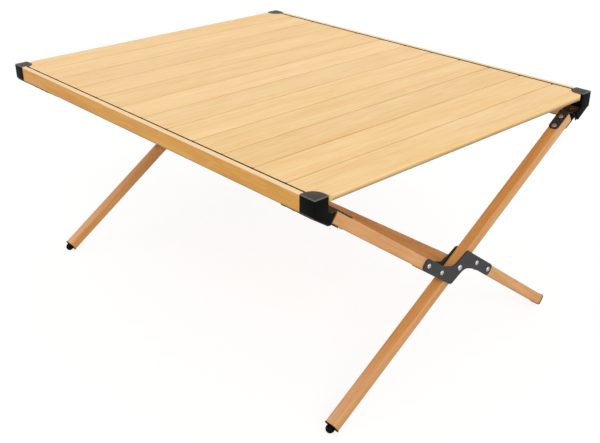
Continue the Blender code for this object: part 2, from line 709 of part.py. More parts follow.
def build():
    clear_scene()
    rail_wood = make_material("wood_print_rail", (0.66, 0.30, 0.07), 0.45, 0.0)
    leg_wood = make_material("wood_print_leg", (0.62, 0.32, 0.11), 0.45, 0.0)
    slat_wood = make_material("wood_print_slat", (0.93, 0.64, 0.31), 0.45, 0.0)
    black = make_material("black_plastic", (0.012, 0.012, 0.014), 0.4, 0.0)
    steel = make_material("black_steel", (0.05, 0.05, 0.06), 0.4, 0.6)
    bright = make_material("bright_steel", (0.8, 0.8, 0.8), 0.25, 1.0)

    body = add_empty("leg_frame_b", PIVOT)
    swing = add_empty("leg_frame_a", PIVOT, body)
    pins = {"a": add_empty("rail_a_hinge", (0, -PIN_Y, PIN_Z), swing),
            "b": add_empty("rail_b_hinge", (0, PIN_Y, PIN_Z), body)}
    lift = add_empty("top_lift", (0, 0, TABLE_HEIGHT - SLAT_RECESS), body)

    for letter, side in (("a", -1), ("b", 1)):
        make_rail(f"rail_{letter}", side, rail_wood, pins[letter])
    make_stretcher(leg_wood, body)

    inner, outer = plate_starts()
    for where, end in (("near", 1), ("far", -1)):
        for letter, side in (("a", -1), ("b", 1)):
            tag = f"{letter}_{where}"
            make_cap(f"end_cap_{tag}", end, side, black, pins[letter])
            make_bracket(f"hinge_bracket_{tag}", end, side, steel, pins[letter])
            make_hinge_pin(f"hinge_pin_{tag}", end, side, bright, pins[letter])
            frame = swing if letter == "a" else body
            tilt = TILT_A if letter == "a" else TILT_B
            offset = -LEG_OFFSET if letter == "a" else 0.0
            top = top_way(offset)
            place = (tilt, side, end)
            make_strap(f"leg_strap_{tag}", top, offset, *place, steel, frame)
            way = foot_way(tilt, -offset)
            make_foot(f"foot_plug_{tag}", way, -offset, *place, black, frame)
            if letter == "a":
                make_leg(f"leg_a_upper_{where}", LEG_SPLIT, top - LEG_TOP_GAP, offset, *place, False,
                         leg_wood, frame)
                make_leg(f"leg_a_lower_{where}", -way, -LEG_SPLIT, -offset, *place, False, leg_wood, frame)
            else:
                make_leg(f"leg_b_{where}", -way, top - LEG_TOP_GAP, 0.0, *place, True, leg_wood, frame)
        make_plate(f"joint_plate_inner_{where}", inner, TILT_A, -1, end, steel, swing)
        make_plate(f"joint_plate_outer_{where}", outer, TILT_A, -1, end, steel, swing)
        make_plate_rivets(where, end, bright, swing)
        make_pivot_bolt(f"pivot_bolt_{where}", end, bright, body)
        make_stretcher_plug(f"stretcher_plug_{where}", end, black, body)
    make_slats(slat_wood, lift)


build()
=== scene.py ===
from math import acos, asin, atan2, cos, hypot, pi, radians, sin

import bmesh
import bpy
from mathutils import Matrix, Vector


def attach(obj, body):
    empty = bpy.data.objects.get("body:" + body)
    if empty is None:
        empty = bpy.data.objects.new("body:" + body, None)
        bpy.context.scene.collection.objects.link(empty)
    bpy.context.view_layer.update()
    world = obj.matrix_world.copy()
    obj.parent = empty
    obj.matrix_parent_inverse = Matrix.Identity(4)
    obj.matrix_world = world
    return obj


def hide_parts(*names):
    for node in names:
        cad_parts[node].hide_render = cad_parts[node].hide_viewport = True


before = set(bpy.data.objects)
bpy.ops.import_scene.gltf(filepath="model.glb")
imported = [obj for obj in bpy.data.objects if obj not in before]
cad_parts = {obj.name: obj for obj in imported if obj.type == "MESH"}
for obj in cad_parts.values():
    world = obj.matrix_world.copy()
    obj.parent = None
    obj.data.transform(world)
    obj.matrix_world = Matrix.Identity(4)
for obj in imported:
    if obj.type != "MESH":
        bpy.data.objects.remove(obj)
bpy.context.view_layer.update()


# Camera, light and ground
# The table stands alone on white, seen from above one long side and past its near end.
# The light is a white tent with one soft lamp high on the near side.
def linear(code):
    """A #RRGGBB colour as the linear numbers that a shader takes."""
    parts = [int(code[start:start + 2], 16) / 255 for start in (1, 3, 5)]
    return (*[part / 12.92 if part <= 0.04045 else ((part + 0.055) / 1.055) ** 2.4 for part in parts], 1)


def add_node(tree, kind, values=None, links=None, **settings):
    """One node with its settings, its socket values and what feeds its sockets."""
    made = tree.nodes.new(kind)
    for name, value in settings.items():
        setattr(made, name, value)
    for socket, value in (values or {}).items():
        made.inputs[socket].default_value = value
    for socket, source in (links or {}).items():
        tree.links.new(source, made.inputs[socket])
    return made


def new_finish(name):
    """A material whose node tree is still empty."""
    finish = bpy.data.materials.new(name)
    finish.use_nodes = True
    finish.node_tree.nodes.clear()
    return finish, finish.node_tree


camera_data = bpy.data.cameras.new("camera")
camera_data.lens = 51.62
camera_data.sensor_width = 36
camera_data.clip_end = 60
camera = bpy.data.objects.new("camera", camera_data)
bpy.context.collection.objects.link(camera)
camera.location = (1.198, -1.0738, 0.936)
camera.rotation_euler = (radians(90 - 26.68), 0, radians(47.409))
bpy.context.scene.camera = camera
bpy.context.scene.view_settings.view_transform = "Standard"

world = bpy.data.worlds.new("white_tent")
world.use_nodes = True
tree = world.node_tree
tree.nodes.clear()
ray = add_node(tree, "ShaderNodeLightPath")
mirrored_ray = add_node(tree, "ShaderNodeMath", operation="MAXIMUM",
                        links={0: ray.outputs["Is Glossy Ray"], 1: ray.outputs["Is Transmission Ray"]})
seen_ray = add_node(tree, "ShaderNodeMath", operation="MAXIMUM",
                    links={0: ray.outputs["Is Camera Ray"], 1: mirrored_ray.outputs[0]})
tent_light = add_node(tree, "ShaderNodeBackground", {"Color": (1, 1, 1, 1), "Strength": 0.78})
tent_seen = add_node(tree, "ShaderNodeBackground", {"Color": (1, 1, 1, 1), "Strength": 1.0})
tent = add_node(tree, "ShaderNodeMixShader",
                links={0: seen_ray.outputs[0], 1: tent_light.outputs[0], 2: tent_seen.outputs[0]})
add_node(tree, "ShaderNodeOutputWorld", links={"Surface": tent.outputs[0]})
bpy.context.scene.world = world

lamp_data = bpy.data.lights.new("soft_lamp", "SUN")
lamp_data.energy = 1.1
lamp_data.angle = radians(35)
lamp = bpy.data.objects.new("soft_lamp", lamp_data)
bpy.context.collection.objects.link(lamp)
lamp.rotation_euler = Vector((0.80, -0.45, 0.62)).to_track_quat("Z", "Y").to_euler()

# White card: seen by the camera it is all but white, and it still takes the table's shadow.
ground_finish, tree = new_finish("white_card")
ray = add_node(tree, "ShaderNodeLightPath")
card = add_node(tree, "ShaderNodeBsdfDiffuse", {"Color": linear("#E6E6E4")})
card_seen = add_node(tree, "ShaderNodeBsdfDiffuse", {"Color": linear("#7C7C7C")})
card_glow = add_node(tree, "ShaderNodeEmission", {"Color": (1, 1, 1, 1), "Strength": 0.83})
card_lit = add_node(tree, "ShaderNodeAddShader", links={0: card_seen.outputs[0], 1: card_glow.outputs[0]})
card_mix = add_node(tree, "ShaderNodeMixShader",
                    links={0: ray.outputs["Is Camera Ray"], 1: card.outputs[0], 2: card_lit.outputs[0]})
add_node(tree, "ShaderNodeOutputMaterial", links={"Surface": card_mix.outputs[0]})
GROUND_REACH, GROUND_DROP = 12, 0.0006
ground_corners = [(-GROUND_REACH, -GROUND_REACH, 0), (GROUND_REACH, -GROUND_REACH, 0),
                  (GROUND_REACH, GROUND_REACH, 0), (-GROUND_REACH, GROUND_REACH, 0)]
ground_mesh = bpy.data.meshes.new("ground")
ground_mesh.from_pydata(ground_corners, [], [(0, 1, 2, 3)])
ground_mesh.materials.append(ground_finish)
ground = bpy.data.objects.new("ground", ground_mesh)
bpy.context.collection.objects.link(ground)
ground.location.z = -GROUND_DROP

# Leg tubes and cross bar
# Every leg is drawn aluminium tube, 21 by 20 mm with soft corners, wrapped in a wood-grain
# film that is heat-set onto powder coat. Leg b is one straight tube at each end of the table,
# and the cross bar between the two crossings is the same tube, cut square.
PIVOT = Vector((0, 0, 0.200))
PIN_Y, PIN_Z = 0.319, 0.4015
PIN_REACH = hypot(PIN_Y, PIN_Z - PIVOT.z)
PIN_ANGLE = atan2(PIN_Z - PIVOT.z, PIN_Y)
EYE_DROP = 0.006
LEG_X, LEG_WIDTH, LEG_DEPTH, LEG_WALL, LEG_CORNER = 0.4225, 0.021, 0.020, 0.0015, 0.003
LEG_OFFSET, LEG_SPLIT, LEG_TOP_GAP = 0.022, 0.028, 0.0155
FIT_GAP, PLATE_THICK, BAR_SIZE, BAR_FLANGE = 0.0003, 0.0025, 0.020, 0.0025
KNOB_RADIUS, KNOB_OUT, KNOB_FLAT = 0.008, 0.005, 0.0005
# painted light and shade on a long tube, by the foot, at the crossing and at the top, and the cross bar's
# painted shade
FACE_LIGHT_AND_SHADE, FLANK_LIGHT_AND_SHADE, BAR_PAINTED_SHADE = (1.10, 0.93, 0.965), (0.90, 0.96, 0.99), 0.87
# how near the crossing its ring of points lies, and how far along X a flank's normal points
RING_REACH, FLANK_LEAN = 0.01, 0.7
TILT_A = PIN_ANGLE + asin((LEG_OFFSET + EYE_DROP) / PIN_REACH)
TILT_B = PIN_ANGLE + asin(EYE_DROP / PIN_REACH)
ENDS = (("near", 1), ("far", -1))


def wood_film(name, pale, body, dark, vein, grain_mm, roughness):
    """Wood-grain film on powder coat: broad figure, growth lines and fine dark streaks, all along
    the grain attribute's Z, with a half-matt lacquer. It reads as planed timber, but evener."""
    film, tree = new_finish(name)
    grain = add_node(tree, "ShaderNodeAttribute", attribute_name="grain")
    # how far each pattern is squeezed across the grain and along it: figure, lines, streaks
    stretches = (40, 40, 3.2), (1000 / grain_mm, 1000 / grain_mm, 2.2), (620, 620, 11)
    broad_place, line_place, fine_place = (
        add_node(tree, "ShaderNodeVectorMath", {1: stretch}, {0: grain.outputs["Vector"]},
                 operation="MULTIPLY") for stretch in stretches)
    # broad figure: 25 mm across, 300 mm along
    broad = add_node(tree, "ShaderNodeTexNoise", {"Scale": 1.0, "Detail": 3.0, "Roughness": 0.55},
                     {"Vector": broad_place.outputs[0]})
    # growth lines: bands bent by the broad figure, which closes them into long flames
    bend = add_node(tree, "ShaderNodeVectorMath", {1: (5.0, 5.0, 0)}, {0: broad.outputs["Color"]},
                    operation="MULTIPLY")
    line_bent = add_node(tree, "ShaderNodeVectorMath", links={0: line_place.outputs[0], 1: bend.outputs[0]},
                         operation="ADD")
    lines = add_node(tree, "ShaderNodeTexWave", {"Scale": 0.35, "Distortion": 1.6, "Detail": 2.0,
                                                 "Detail Scale": 1.4}, {"Vector": line_bent.outputs[0]},
                     wave_type="BANDS", bands_direction="X", wave_profile="SAW")
    # fine streaks: pores about 1 mm wide and 40 mm long, drawn wider than real ones so that they show
    fine = add_node(tree, "ShaderNodeTexNoise", {"Scale": 1.0, "Detail": 4.0, "Roughness": 0.65},
                    {"Vector": fine_place.outputs[0]})
    streak = add_node(tree, "ShaderNodeMapRange", {"From Min": 0.50, "From Max": 0.74},
                      {0: fine.outputs["Fac"]})
    tone = add_node(tree, "ShaderNodeMapRange", {"From Min": 0.30, "From Max": 0.70},
                    {0: broad.outputs["Fac"]})
    printed = add_node(tree, "ShaderNodeMix", {6: linear(pale), 7: linear(body)}, {0: tone.outputs[0]},
                       data_type="RGBA")
    for ink, strength, mask in ((dark, 0.34, lines.outputs["Fac"]), (vein, 0.42, streak.outputs[0])):
        share = add_node(tree, "ShaderNodeMath", {1: strength}, {0: mask}, operation="MULTIPLY")
        printed = add_node(tree, "ShaderNodeMix", {7: linear(ink)},
                           {0: share.outputs[0], 6: printed.outputs[2]}, data_type="RGBA")
    # every piece was cut from another stretch of film, a little lighter or darker; the same value also
    # carries painted light and shade on the legs, the cross bar and the slats' edges
    piece_shade = add_node(tree, "ShaderNodeAttribute", attribute_name="shade")
    # where it is lighter it is also less rich
    richness = add_node(tree, "ShaderNodeMapRange", {"From Min": 1.0, "From Max": 1.1, "To Min": 1.0,
                                                     "To Max": 0.84}, {0: piece_shade.outputs["Fac"]})
    toned = add_node(tree, "ShaderNodeHueSaturation",
                     links={"Value": piece_shade.outputs["Fac"], "Saturation": richness.outputs[0],
                            "Color": printed.outputs[2]})
    gloss = add_node(tree, "ShaderNodeMapRange", {"To Min": roughness - 0.05, "To Max": roughness + 0.08},
                     {0: fine.outputs["Fac"]})
    relief = add_node(tree, "ShaderNodeBump", {"Strength": 0.12, "Distance": 0.0004},
                      {"Height": fine.outputs["Fac"]})
    lacquer = add_node(tree, "ShaderNodeBsdfPrincipled", {"IOR": 1.5, "Specular IOR Level": 0.4},
                       {"Base Color": toned.outputs[0], "Roughness": gloss.outputs[0],
                        "Normal": relief.outputs[0]})
    add_node(tree, "ShaderNodeOutputMaterial", links={"Surface": lacquer.outputs[0]})
    return film


leg_film = wood_film("wood_film_oak_brown", "#DDA264", "#CE8F4C", "#B3702F", "#8E5320", 9, 0.42)
# a paler copy of the leg's film for its flanks: painted light
flank_painted_light_film = wood_film("wood_film_oak_flank_painted_light", "#E1AA70", "#D29756", "#B8783C", "#925B2B", 9, 0.42)


def new_maker(name, result, *labels):
    """A Geometry Nodes tree with a number input for each size, and the sockets that hand them in."""
    maker = bpy.data.node_groups.new(name, "GeometryNodeTree")
    for label in labels:
        maker.interface.new_socket(name=label, in_out="INPUT", socket_type="NodeSocketFloat")
    maker.interface.new_socket(name=result, in_out="OUTPUT", socket_type="NodeSocketGeometry")
    return maker, add_node(maker, "NodeGroupInput").outputs


def soft_corners(maker, width, height, radius, steps):
    """A rectangle in a tree, with its corners rounded."""
    corners = add_node(maker, "GeometryNodeCurvePrimitiveQuadrilateral",
                       links={"Width": width, "Height": height})
    return add_node(maker, "GeometryNodeFilletCurve", {"Count": steps},
                    {"Curve": corners.outputs[0], "Radius": radius}, mode="POLY")


def make_real(maker, shape, finish):
    """End a tree: its shape as real meshes, with their finish."""
    real = add_node(maker, "GeometryNodeRealizeInstances", links={0: shape})
    finished = add_node(maker, "GeometryNodeSetMaterial", {"Material": finish},
                        {"Geometry": real.outputs[0]})
    add_node(maker, "NodeGroupOutput", links={0: finished.outputs[0]})


def press_through(maker, outlines, length, start, film):
    """Draw the face between the outlines out along Z, as through a die, and wrap it in its film."""
    section = add_node(maker, "GeometryNodeJoinGeometry")
    for outline in outlines:
        maker.links.new(outline.outputs[0], section.inputs[0])
    cut_face = add_node(maker, "GeometryNodeFillCurve", links={"Curve": section.outputs[0]},
                        mode="TRIANGLES")
    run = add_node(maker, "ShaderNodeCombineXYZ", links={"Z": length})
    drawn = add_node(maker, "GeometryNodeExtrudeMesh", {"Individual": False},
                     {"Mesh": cut_face.outputs[0], "Offset": run.outputs[0]}, mode="FACES")
    back_face = add_node(maker, "GeometryNodeFlipFaces", links={"Mesh": cut_face.outputs[0]})
    whole = add_node(maker, "GeometryNodeJoinGeometry")
    for part in (drawn.outputs["Mesh"], back_face.outputs[0]):
        maker.links.new(part, whole.inputs[0])
    sewn = add_node(maker, "GeometryNodeMergeByDistance", {"Distance": 0.00001},
                    {"Geometry": whole.outputs[0]})
    place = add_node(maker, "ShaderNodeCombineXYZ", links={"Z": start})
    placed = add_node(maker, "GeometryNodeTransform",
                      links={"Geometry": sewn.outputs[0], "Translation": place.outputs[0]})
    make_real(maker, placed.outputs[0], film)


tube_maker, sizes = new_maker("tube_maker", "Tube", "Width", "Depth", "Corner", "Wall", "Start", "End")
outer = soft_corners(tube_maker, sizes["Width"], sizes["Depth"], sizes["Corner"], 6)
bore_width, bore_depth = (
    add_node(tube_maker, "ShaderNodeMath", {1: -2.0}, {0: sizes["Wall"], 2: sizes[side]},
             operation="MULTIPLY_ADD") for side in ("Width", "Depth"))
bore_corner = add_node(tube_maker, "ShaderNodeMath", operation="SUBTRACT",
                       links={0: sizes["Corner"], 1: sizes["Wall"]})
bore = soft_corners(tube_maker, bore_width.outputs[0], bore_depth.outputs[0], bore_corner.outputs[0], 4)
run = add_node(tube_maker, "ShaderNodeMath", links={0: sizes["End"], 1: sizes["Start"]},
               operation="SUBTRACT")
press_through(tube_maker, (outer, bore), run.outputs[0], sizes["Start"], leg_film)


def grow(maker, sizes_by_name):
    """Run a Geometry Nodes tree with these sizes and hand back its result as a plain mesh."""
    host = bpy.data.objects.new("host", bpy.data.meshes.new("host"))
    bpy.context.collection.objects.link(host)
    step = host.modifiers.new("maker", "NODES")
    step.node_group = maker
    for item in maker.interface.items_tree:
        if item.item_type == "SOCKET" and item.in_out == "INPUT" and item.name in sizes_by_name:
            step[item.identifier] = sizes_by_name[item.name]
    depsgraph = bpy.context.evaluated_depsgraph_get()
    made = bpy.data.meshes.new_from_object(host.evaluated_get(depsgraph), depsgraph=depsgraph)
    host.modifiers.remove(step)
    bpy.data.objects.remove(host, do_unlink=True)
    return made


def face_out(work):
    """Point a closed shell's faces outwards."""
    bmesh.ops.recalc_face_normals(work, faces=work.faces)
    if work.calc_volume(signed=True) < 0:
        bmesh.ops.reverse_faces(work, faces=work.faces)


def settle(mesh, turn):
    """Turn a mesh to its place in the table, point its faces outwards and shade its rounds smooth."""
    mesh.transform(turn)
    work = bmesh.new()
    work.from_mesh(mesh)
    bmesh.ops.remove_doubles(work, verts=work.verts, dist=0.000001)
    face_out(work)
    work.to_mesh(mesh)
    work.free()
    mesh.shade_smooth()
    mesh.set_sharp_from_angle(angle=radians(35))


def shade_of(mesh, value, shift):
    """Give a piece, still in its own axes, its tone and its own stretch of the film's pattern."""
    tones = mesh.attributes.new("shade", "FLOAT", "POINT")
    tones.data.foreach_set("value", [value] * len(mesh.vertices))
    grain = mesh.attributes.new("grain", "FLOAT_VECTOR", "POINT")
    for item, vertex in zip(grain.data, mesh.vertices):
        item.vector = vertex.co + shift


def refinish(mesh, *finishes):
    """Take off a mesh's finishes and give it these, one for each slot."""
    mesh.materials.clear()
    for finish in finishes:
        mesh.materials.append(finish)


def paint_light_on_flanks(tube):
    """Painted light: the two faces of a leg that look along the table take a paler copy of the film."""
    refinish(tube, leg_film, flank_painted_light_film)
    for face in tube.polygons:
        face.material_index = 1 if abs(face.normal.x) > FLANK_LEAN else 0


def ring_at_crossing(tube):
    """Cut a long tube's faces at the crossing, so that its painted light and shade can change there."""
    work = bmesh.new()
    work.from_mesh(tube)
    bmesh.ops.bisect_plane(work, geom=work.verts[:] + work.edges[:] + work.faces[:],
                           plane_co=(0, 0, 0), plane_no=(0, 0, 1))
    work.to_mesh(tube)
    work.free()


def paint_light_and_shade_along(tube):
    """Painted light and shade along a long tube: darkest at the crossing under the top, palest by the foot,
    but browner on the flanks there.
    """
    for tone, vertex in zip(tube.attributes["shade"].data, tube.vertices):
        ring = 1 if abs(vertex.co.z) < RING_REACH else 0 if vertex.co.z < 0 else 2
        flank = max(0, 1 - (LEG_WIDTH / 2 - abs(vertex.co.x)) / LEG_CORNER)
        tone.value *= FACE_LIGHT_AND_SHADE[ring] + flank * (FLANK_LIGHT_AND_SHADE[ring] - FACE_LIGHT_AND_SHADE[ring])


def hand_over(mesh, name, body, slot, *nodes):
    """Make the mesh a piece of the table: it moves with its body and stands for its CAD nodes."""
    piece = bpy.data.objects.new(name, mesh)
    bpy.context.collection.objects.link(piece)
    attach(piece, body)
    if nodes:
        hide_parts(*nodes)
    return piece


def axes(*ways):
    """The turn that takes X, Y and Z to these three ways."""
    return Matrix([Vector(way) for way in ways]).transposed().to_4x4()


def leg_turn(tilt, side, offset, end):
    """From a tube's own axes (Z up the leg, Y square to it) to its place in the table."""
    up = Vector((0, side * cos(tilt), sin(tilt)))
    square = Vector((0, -side * sin(tilt), cos(tilt)))
    place = PIVOT + Vector((end * LEG_X, 0, 0)) + offset * square
    return Matrix.Translation(place) @ axes((1, 0, 0), square, up)


def foot_way(tilt, offset):
    """From the crossing down the leg to its lower end face."""
    end_height = KNOB_RADIUS - KNOB_FLAT + KNOB_OUT * sin(tilt)
    return (PIVOT.z + offset * cos(tilt) - end_height) / sin(tilt)


top_b = (PIN_REACH ** 2 - EYE_DROP ** 2) ** 0.5
tube_sizes = {"Width": LEG_WIDTH, "Depth": LEG_DEPTH, "Corner": LEG_CORNER, "Wall": LEG_WALL}
for count, (where, end) in enumerate(ENDS):
    start, stop = -foot_way(TILT_B, 0), top_b - LEG_TOP_GAP
    tube = grow(tube_maker, {**tube_sizes, "Start": start, "End": stop})
    ring_at_crossing(tube)
    shade_of(tube, 1.0 + 0.02 * count, Vector((0.31 * count, 0.2, 0.9 * count)))
    # painted shade at the crossing under the top, painted light by the foot
    paint_light_and_shade_along(tube)
    settle(tube, leg_turn(TILT_B, 1, 0, end))
    paint_light_on_flanks(tube)
    hand_over(tube, f"leg_b_tube_{where}", "leg_frame_b", "leg_wood_print", f"leg_b_{where}")

bar_reach = LEG_X - LEG_WIDTH / 2 - 2 * FIT_GAP - PLATE_THICK - BAR_FLANGE
bar = grow(tube_maker, {**tube_sizes, "Width": BAR_SIZE, "Start": -bar_reach, "End": bar_reach})
# the cross bar's darker tone is painted shade under the top
shade_of(bar, BAR_PAINTED_SHADE, Vector((0.7, 0.1, 0.4)))
settle(bar, Matrix.Translation(PIVOT) @ Matrix.Rotation(pi / 2, 4, "Y"))
hand_over(bar, "cross_bar_tube", "leg_frame_b", "leg_wood_print", "stretcher")

# Leg a
# The same tube, cut in two at each crossing. The upper half stands 22 mm to one side of the
# pivot's line and the lower half 22 mm to the other, so that leg b can swing past between them.
top_a = (PIN_REACH ** 2 - (LEG_OFFSET + EYE_DROP) ** 2) ** 0.5
for count, (where, end) in enumerate(ENDS):
    for half, start, stop, offset, tone, shift in (
            ("upper", LEG_SPLIT, top_a - LEG_TOP_GAP, -LEG_OFFSET, 1.02 - 0.05 * count,
             Vector((0.13, 0.5 * count, 1.3))),
            ("lower", -foot_way(TILT_A, LEG_OFFSET), -LEG_SPLIT, LEG_OFFSET, 1.0 - 0.04 * count,
             Vector((0.52, 0.3, 2.1 + count)))):
        tube = grow(tube_maker, {**tube_sizes, "Start": start, "End": stop})
        shade_of(tube, tone, shift)
        settle(tube, leg_turn(TILT_A, -1, offset, end))
        paint_light_on_flanks(tube)
        hand_over(tube, f"leg_a_{half}_tube_{where}", "leg_frame_a", "leg_wood_print",
                  f"leg_a_{half}_{where}")

# Joint plates
# Two plates of 2.5 mm mild steel clasp each crossing. They are laser-cut, then powder-coated
# satin black, which rounds their edges a little and leaves a fine orange peel.
PLATE_ARM, PLATE_WEB, PLATE_CORNER, PLATE_LEAN = 0.102, 0.016, 0.008, 0.0035
PLATE_MARGIN, PLATE_EASE, EDGE_TURN = 0.001, 0.0004, radians(40)


def cloudy_tone(tree, spot, low, high, size):
    """Soft clouds over a piece's own axes, and two tones blended by them."""
    cloud = add_node(tree, "ShaderNodeTexNoise", {"Scale": size, "Detail": 3.0},
                     {"Vector": spot.outputs["Object"]})
    tone = add_node(tree, "ShaderNodeMix", {6: linear(low), 7: linear(high)}, {0: cloud.outputs["Fac"]},
                    data_type="RGBA")
    return cloud, tone


black_coat, tree = new_finish("powder_coated_steel_black")
spot = add_node(tree, "ShaderNodeTexCoord")
peel = add_node(tree, "ShaderNodeTexNoise", {"Scale": 900.0, "Detail": 2.0},
                {"Vector": spot.outputs["Object"]})
cloud, tone = cloudy_tone(tree, spot, "#212125", "#2B2B2F", 45.0)
gloss = add_node(tree, "ShaderNodeMapRange", {"To Min": 0.34, "To Max": 0.52}, {0: cloud.outputs["Fac"]})
relief = add_node(tree, "ShaderNodeBump", {"Strength": 0.25, "Distance": 0.0002},
                  {"Height": peel.outputs["Fac"]})
coat = add_node(tree, "ShaderNodeBsdfPrincipled", {"IOR": 1.5, "Specular IOR Level": 0.4},
                {"Base Color": tone.outputs[2], "Roughness": gloss.outputs[0], "Normal": relief.outputs[0]})
add_node(tree, "ShaderNodeOutputMaterial", links={"Surface": coat.outputs[0]})


def arc(centre, radius, start, end, steps):
    """Points on a circle, from the start angle to the end angle."""
    return [(centre[0] + radius * cos(start + (end - start) * step / steps),
             centre[1] + radius * sin(start + (end - start) * step / steps)) for step in range(steps + 1)]


def slab(outline, low, high, *holes):
    """A flat or drawn piece: its outline, less its holes, carried from Z = low to Z = high."""
    work = bmesh.new()
    edges = []
    for loop in [outline, *holes]:
        corners = [work.verts.new((x, y, low)) for x, y in loop]
        edges += [work.edges.new((corners[index - 1], corner)) for index, corner in enumerate(corners)]
    bmesh.ops.triangle_fill(work, use_beauty=True, edges=edges)
    flat = [edge for edge in work.edges if len(edge.link_faces) == 2]
    bmesh.ops.dissolve_edges(work, edges=flat if not holes else [], use_verts=False)
    grown = bmesh.ops.extrude_face_region(work, geom=work.faces[:])
    moved = [item for item in grown["geom"] if isinstance(item, bmesh.types.BMVert)]
    bmesh.ops.translate(work, vec=(0, 0, high - low), verts=moved)
    work.normal_update()
    face_out(work)
    made = bpy.data.meshes.new("slab")
    work.to_mesh(made)
    work.free()
    return made


def soften(piece, width):
    """Round a piece's edges as a cutter, a mould or a coat of paint leaves them."""
    step = piece.modifiers.new("rounded_edges", "BEVEL")
    step.width = width
    step.segments = 2
    step.limit_method = "ANGLE"
    step.angle_limit = EDGE_TURN
    step.harden_normals = False


plate_half = LEG_DEPTH / 2 + PLATE_MARGIN
near_edge, far_edge = LEG_OFFSET - plate_half, LEG_OFFSET + plate_half
plate_tip = PLATE_ARM - PLATE_CORNER
plate_arm = [
    (PLATE_WEB - 0.003, 0.004), (PLATE_WEB + 0.003, -0.002), (PLATE_WEB + 0.008, -0.005),
    (PLATE_WEB + 0.032, -near_edge),
    *arc((plate_tip, -near_edge - PLATE_CORNER), PLATE_CORNER, pi / 2, 0, 6),
    *arc((plate_tip, -far_edge + PLATE_CORNER), PLATE_CORNER, 0, -pi / 2, 6),
    (PLATE_LEAN, -far_edge), (PLATE_LEAN - 0.004, -far_edge + 0.003),
]
plate_outline = plate_arm + [(-way, -square) for way, square in plate_arm]
leg_inner, leg_outer = LEG_X - LEG_WIDTH / 2, LEG_X + LEG_WIDTH / 2
plate_starts = (("inner", leg_inner - FIT_GAP - PLATE_THICK), ("outer", leg_outer + FIT_GAP))
plate_axes = axes((0, -cos(TILT_A), sin(TILT_A)), (0, sin(TILT_A), cos(TILT_A)), (1, 0, 0))
for where, end in ENDS:
    for which, start in plate_starts:
        plate = slab(plate_outline, start, start + PLATE_THICK)
        settle(plate, Matrix.Diagonal((end, 1, 1, 1)) @ Matrix.Translation(PIVOT) @ plate_axes)
        refinish(plate, black_coat)
        piece = hand_over(plate, f"crossing_plate_{which}_{where}", "leg_frame_a", "black_steel",
                          f"joint_plate_{which}_{where}")
        soften(piece, PLATE_EASE)

# Rivets and pivot bolts
# Plated steel rivets with a domed head on each side, set through the plates and the tube.
# The pivot bolt is the same form, bigger, and turns in leg b. Bright zinc gives a soft mirror.
RIVET_STEPS, RIVET_RADIUS, RIVET_HEAD, RIVET_DOME = (0.045, 0.090), 0.0024, 0.0045, 0.0022
PIVOT_RADIUS, PIVOT_HEAD, PIVOT_DOME, PIVOT_THREAD = 0.003, 0.0055, 0.0028, 0.012


def zinc_plating(name, pale, grey, mottle_size, low_gloss, high_gloss):
    """Zinc-plated steel: a fine mottle, drawn coarser than the real one, that shifts tone and gloss."""
    plated, tree = new_finish(name)
    mottle, tone = cloudy_tone(tree, add_node(tree, "ShaderNodeTexCoord"), pale, grey, mottle_size)
    gloss = add_node(tree, "ShaderNodeMapRange", {"To Min": low_gloss, "To Max": high_gloss},
                     {0: mottle.outputs["Fac"]})
    plating = add_node(tree, "ShaderNodeBsdfPrincipled", {"Metallic": 1.0},
                       {"Base Color": tone.outputs[2], "Roughness": gloss.outputs[0]})
    add_node(tree, "ShaderNodeOutputMaterial", links={"Surface": plating.outputs[0]})
    return plated


bright_zinc = zinc_plating("zinc_plated_steel_bright", "#DADADC", "#BDBDC2", 700.0, 0.16, 0.34)

fastener_maker, sizes = new_maker("fastener_maker", "Fastener", "Shank", "Head", "Head Height", "Start",
                                  "End", "Low Head", "High Head")
shank_length = add_node(fastener_maker, "ShaderNodeMath", operation="SUBTRACT",
                        links={0: sizes["End"], 1: sizes["Start"]})
shank = add_node(fastener_maker, "GeometryNodeMeshCylinder", {"Vertices": 20},
                 {"Radius": sizes["Shank"], "Depth": shank_length.outputs[0]})
middle = add_node(fastener_maker, "ShaderNodeMath", operation="ADD",
                  links={0: sizes["End"], 1: sizes["Start"]})
middle_half = add_node(fastener_maker, "ShaderNodeMath", {1: 0.5}, {0: middle.outputs[0]},
                       operation="MULTIPLY")
middle_place = add_node(fastener_maker, "ShaderNodeCombineXYZ", links={"Z": middle_half.outputs[0]})
shank_placed = add_node(fastener_maker, "GeometryNodeTransform",
                        links={"Geometry": shank.outputs[0], "Translation": middle_place.outputs[0]})
# a head is a closed ball, flattened to the head's height, whose inner half is sunk in the plate
ball = add_node(fastener_maker, "GeometryNodeMeshUVSphere", {"Segments": 24, "Rings": 12, "Radius": 1.0})
heads = add_node(fastener_maker, "GeometryNodeJoinGeometry")
for place_name, wanted, way in (("End", "High Head", 1), ("Start", "Low Head", -1)):
    head_scale = add_node(fastener_maker, "ShaderNodeCombineXYZ",
                          links={"X": sizes["Head"], "Y": sizes["Head"], "Z": sizes["Head Height"]})
    head_shown = add_node(fastener_maker, "ShaderNodeVectorMath", operation="SCALE",
                          links={0: head_scale.outputs[0], "Scale": sizes[wanted]})
    head_place = add_node(fastener_maker, "ShaderNodeCombineXYZ", links={"Z": sizes[place_name]})
    head = add_node(fastener_maker, "GeometryNodeTransform", {"Rotation": (0 if way > 0 else pi, 0, 0)},
                    {"Geometry": ball.outputs[0], "Translation": head_place.outputs[0],
                     "Scale": head_shown.outputs[0]})
    fastener_maker.links.new(head.outputs[0], heads.inputs[0])
fastener_maker.links.new(shank_placed.outputs[0], heads.inputs[0])
smooth_heads = add_node(fastener_maker, "GeometryNodeSetShadeSmooth", {"Shade Smooth": True},
                        {0: heads.outputs[0]})
make_real(fastener_maker, smooth_heads.outputs[0], bright_zinc)


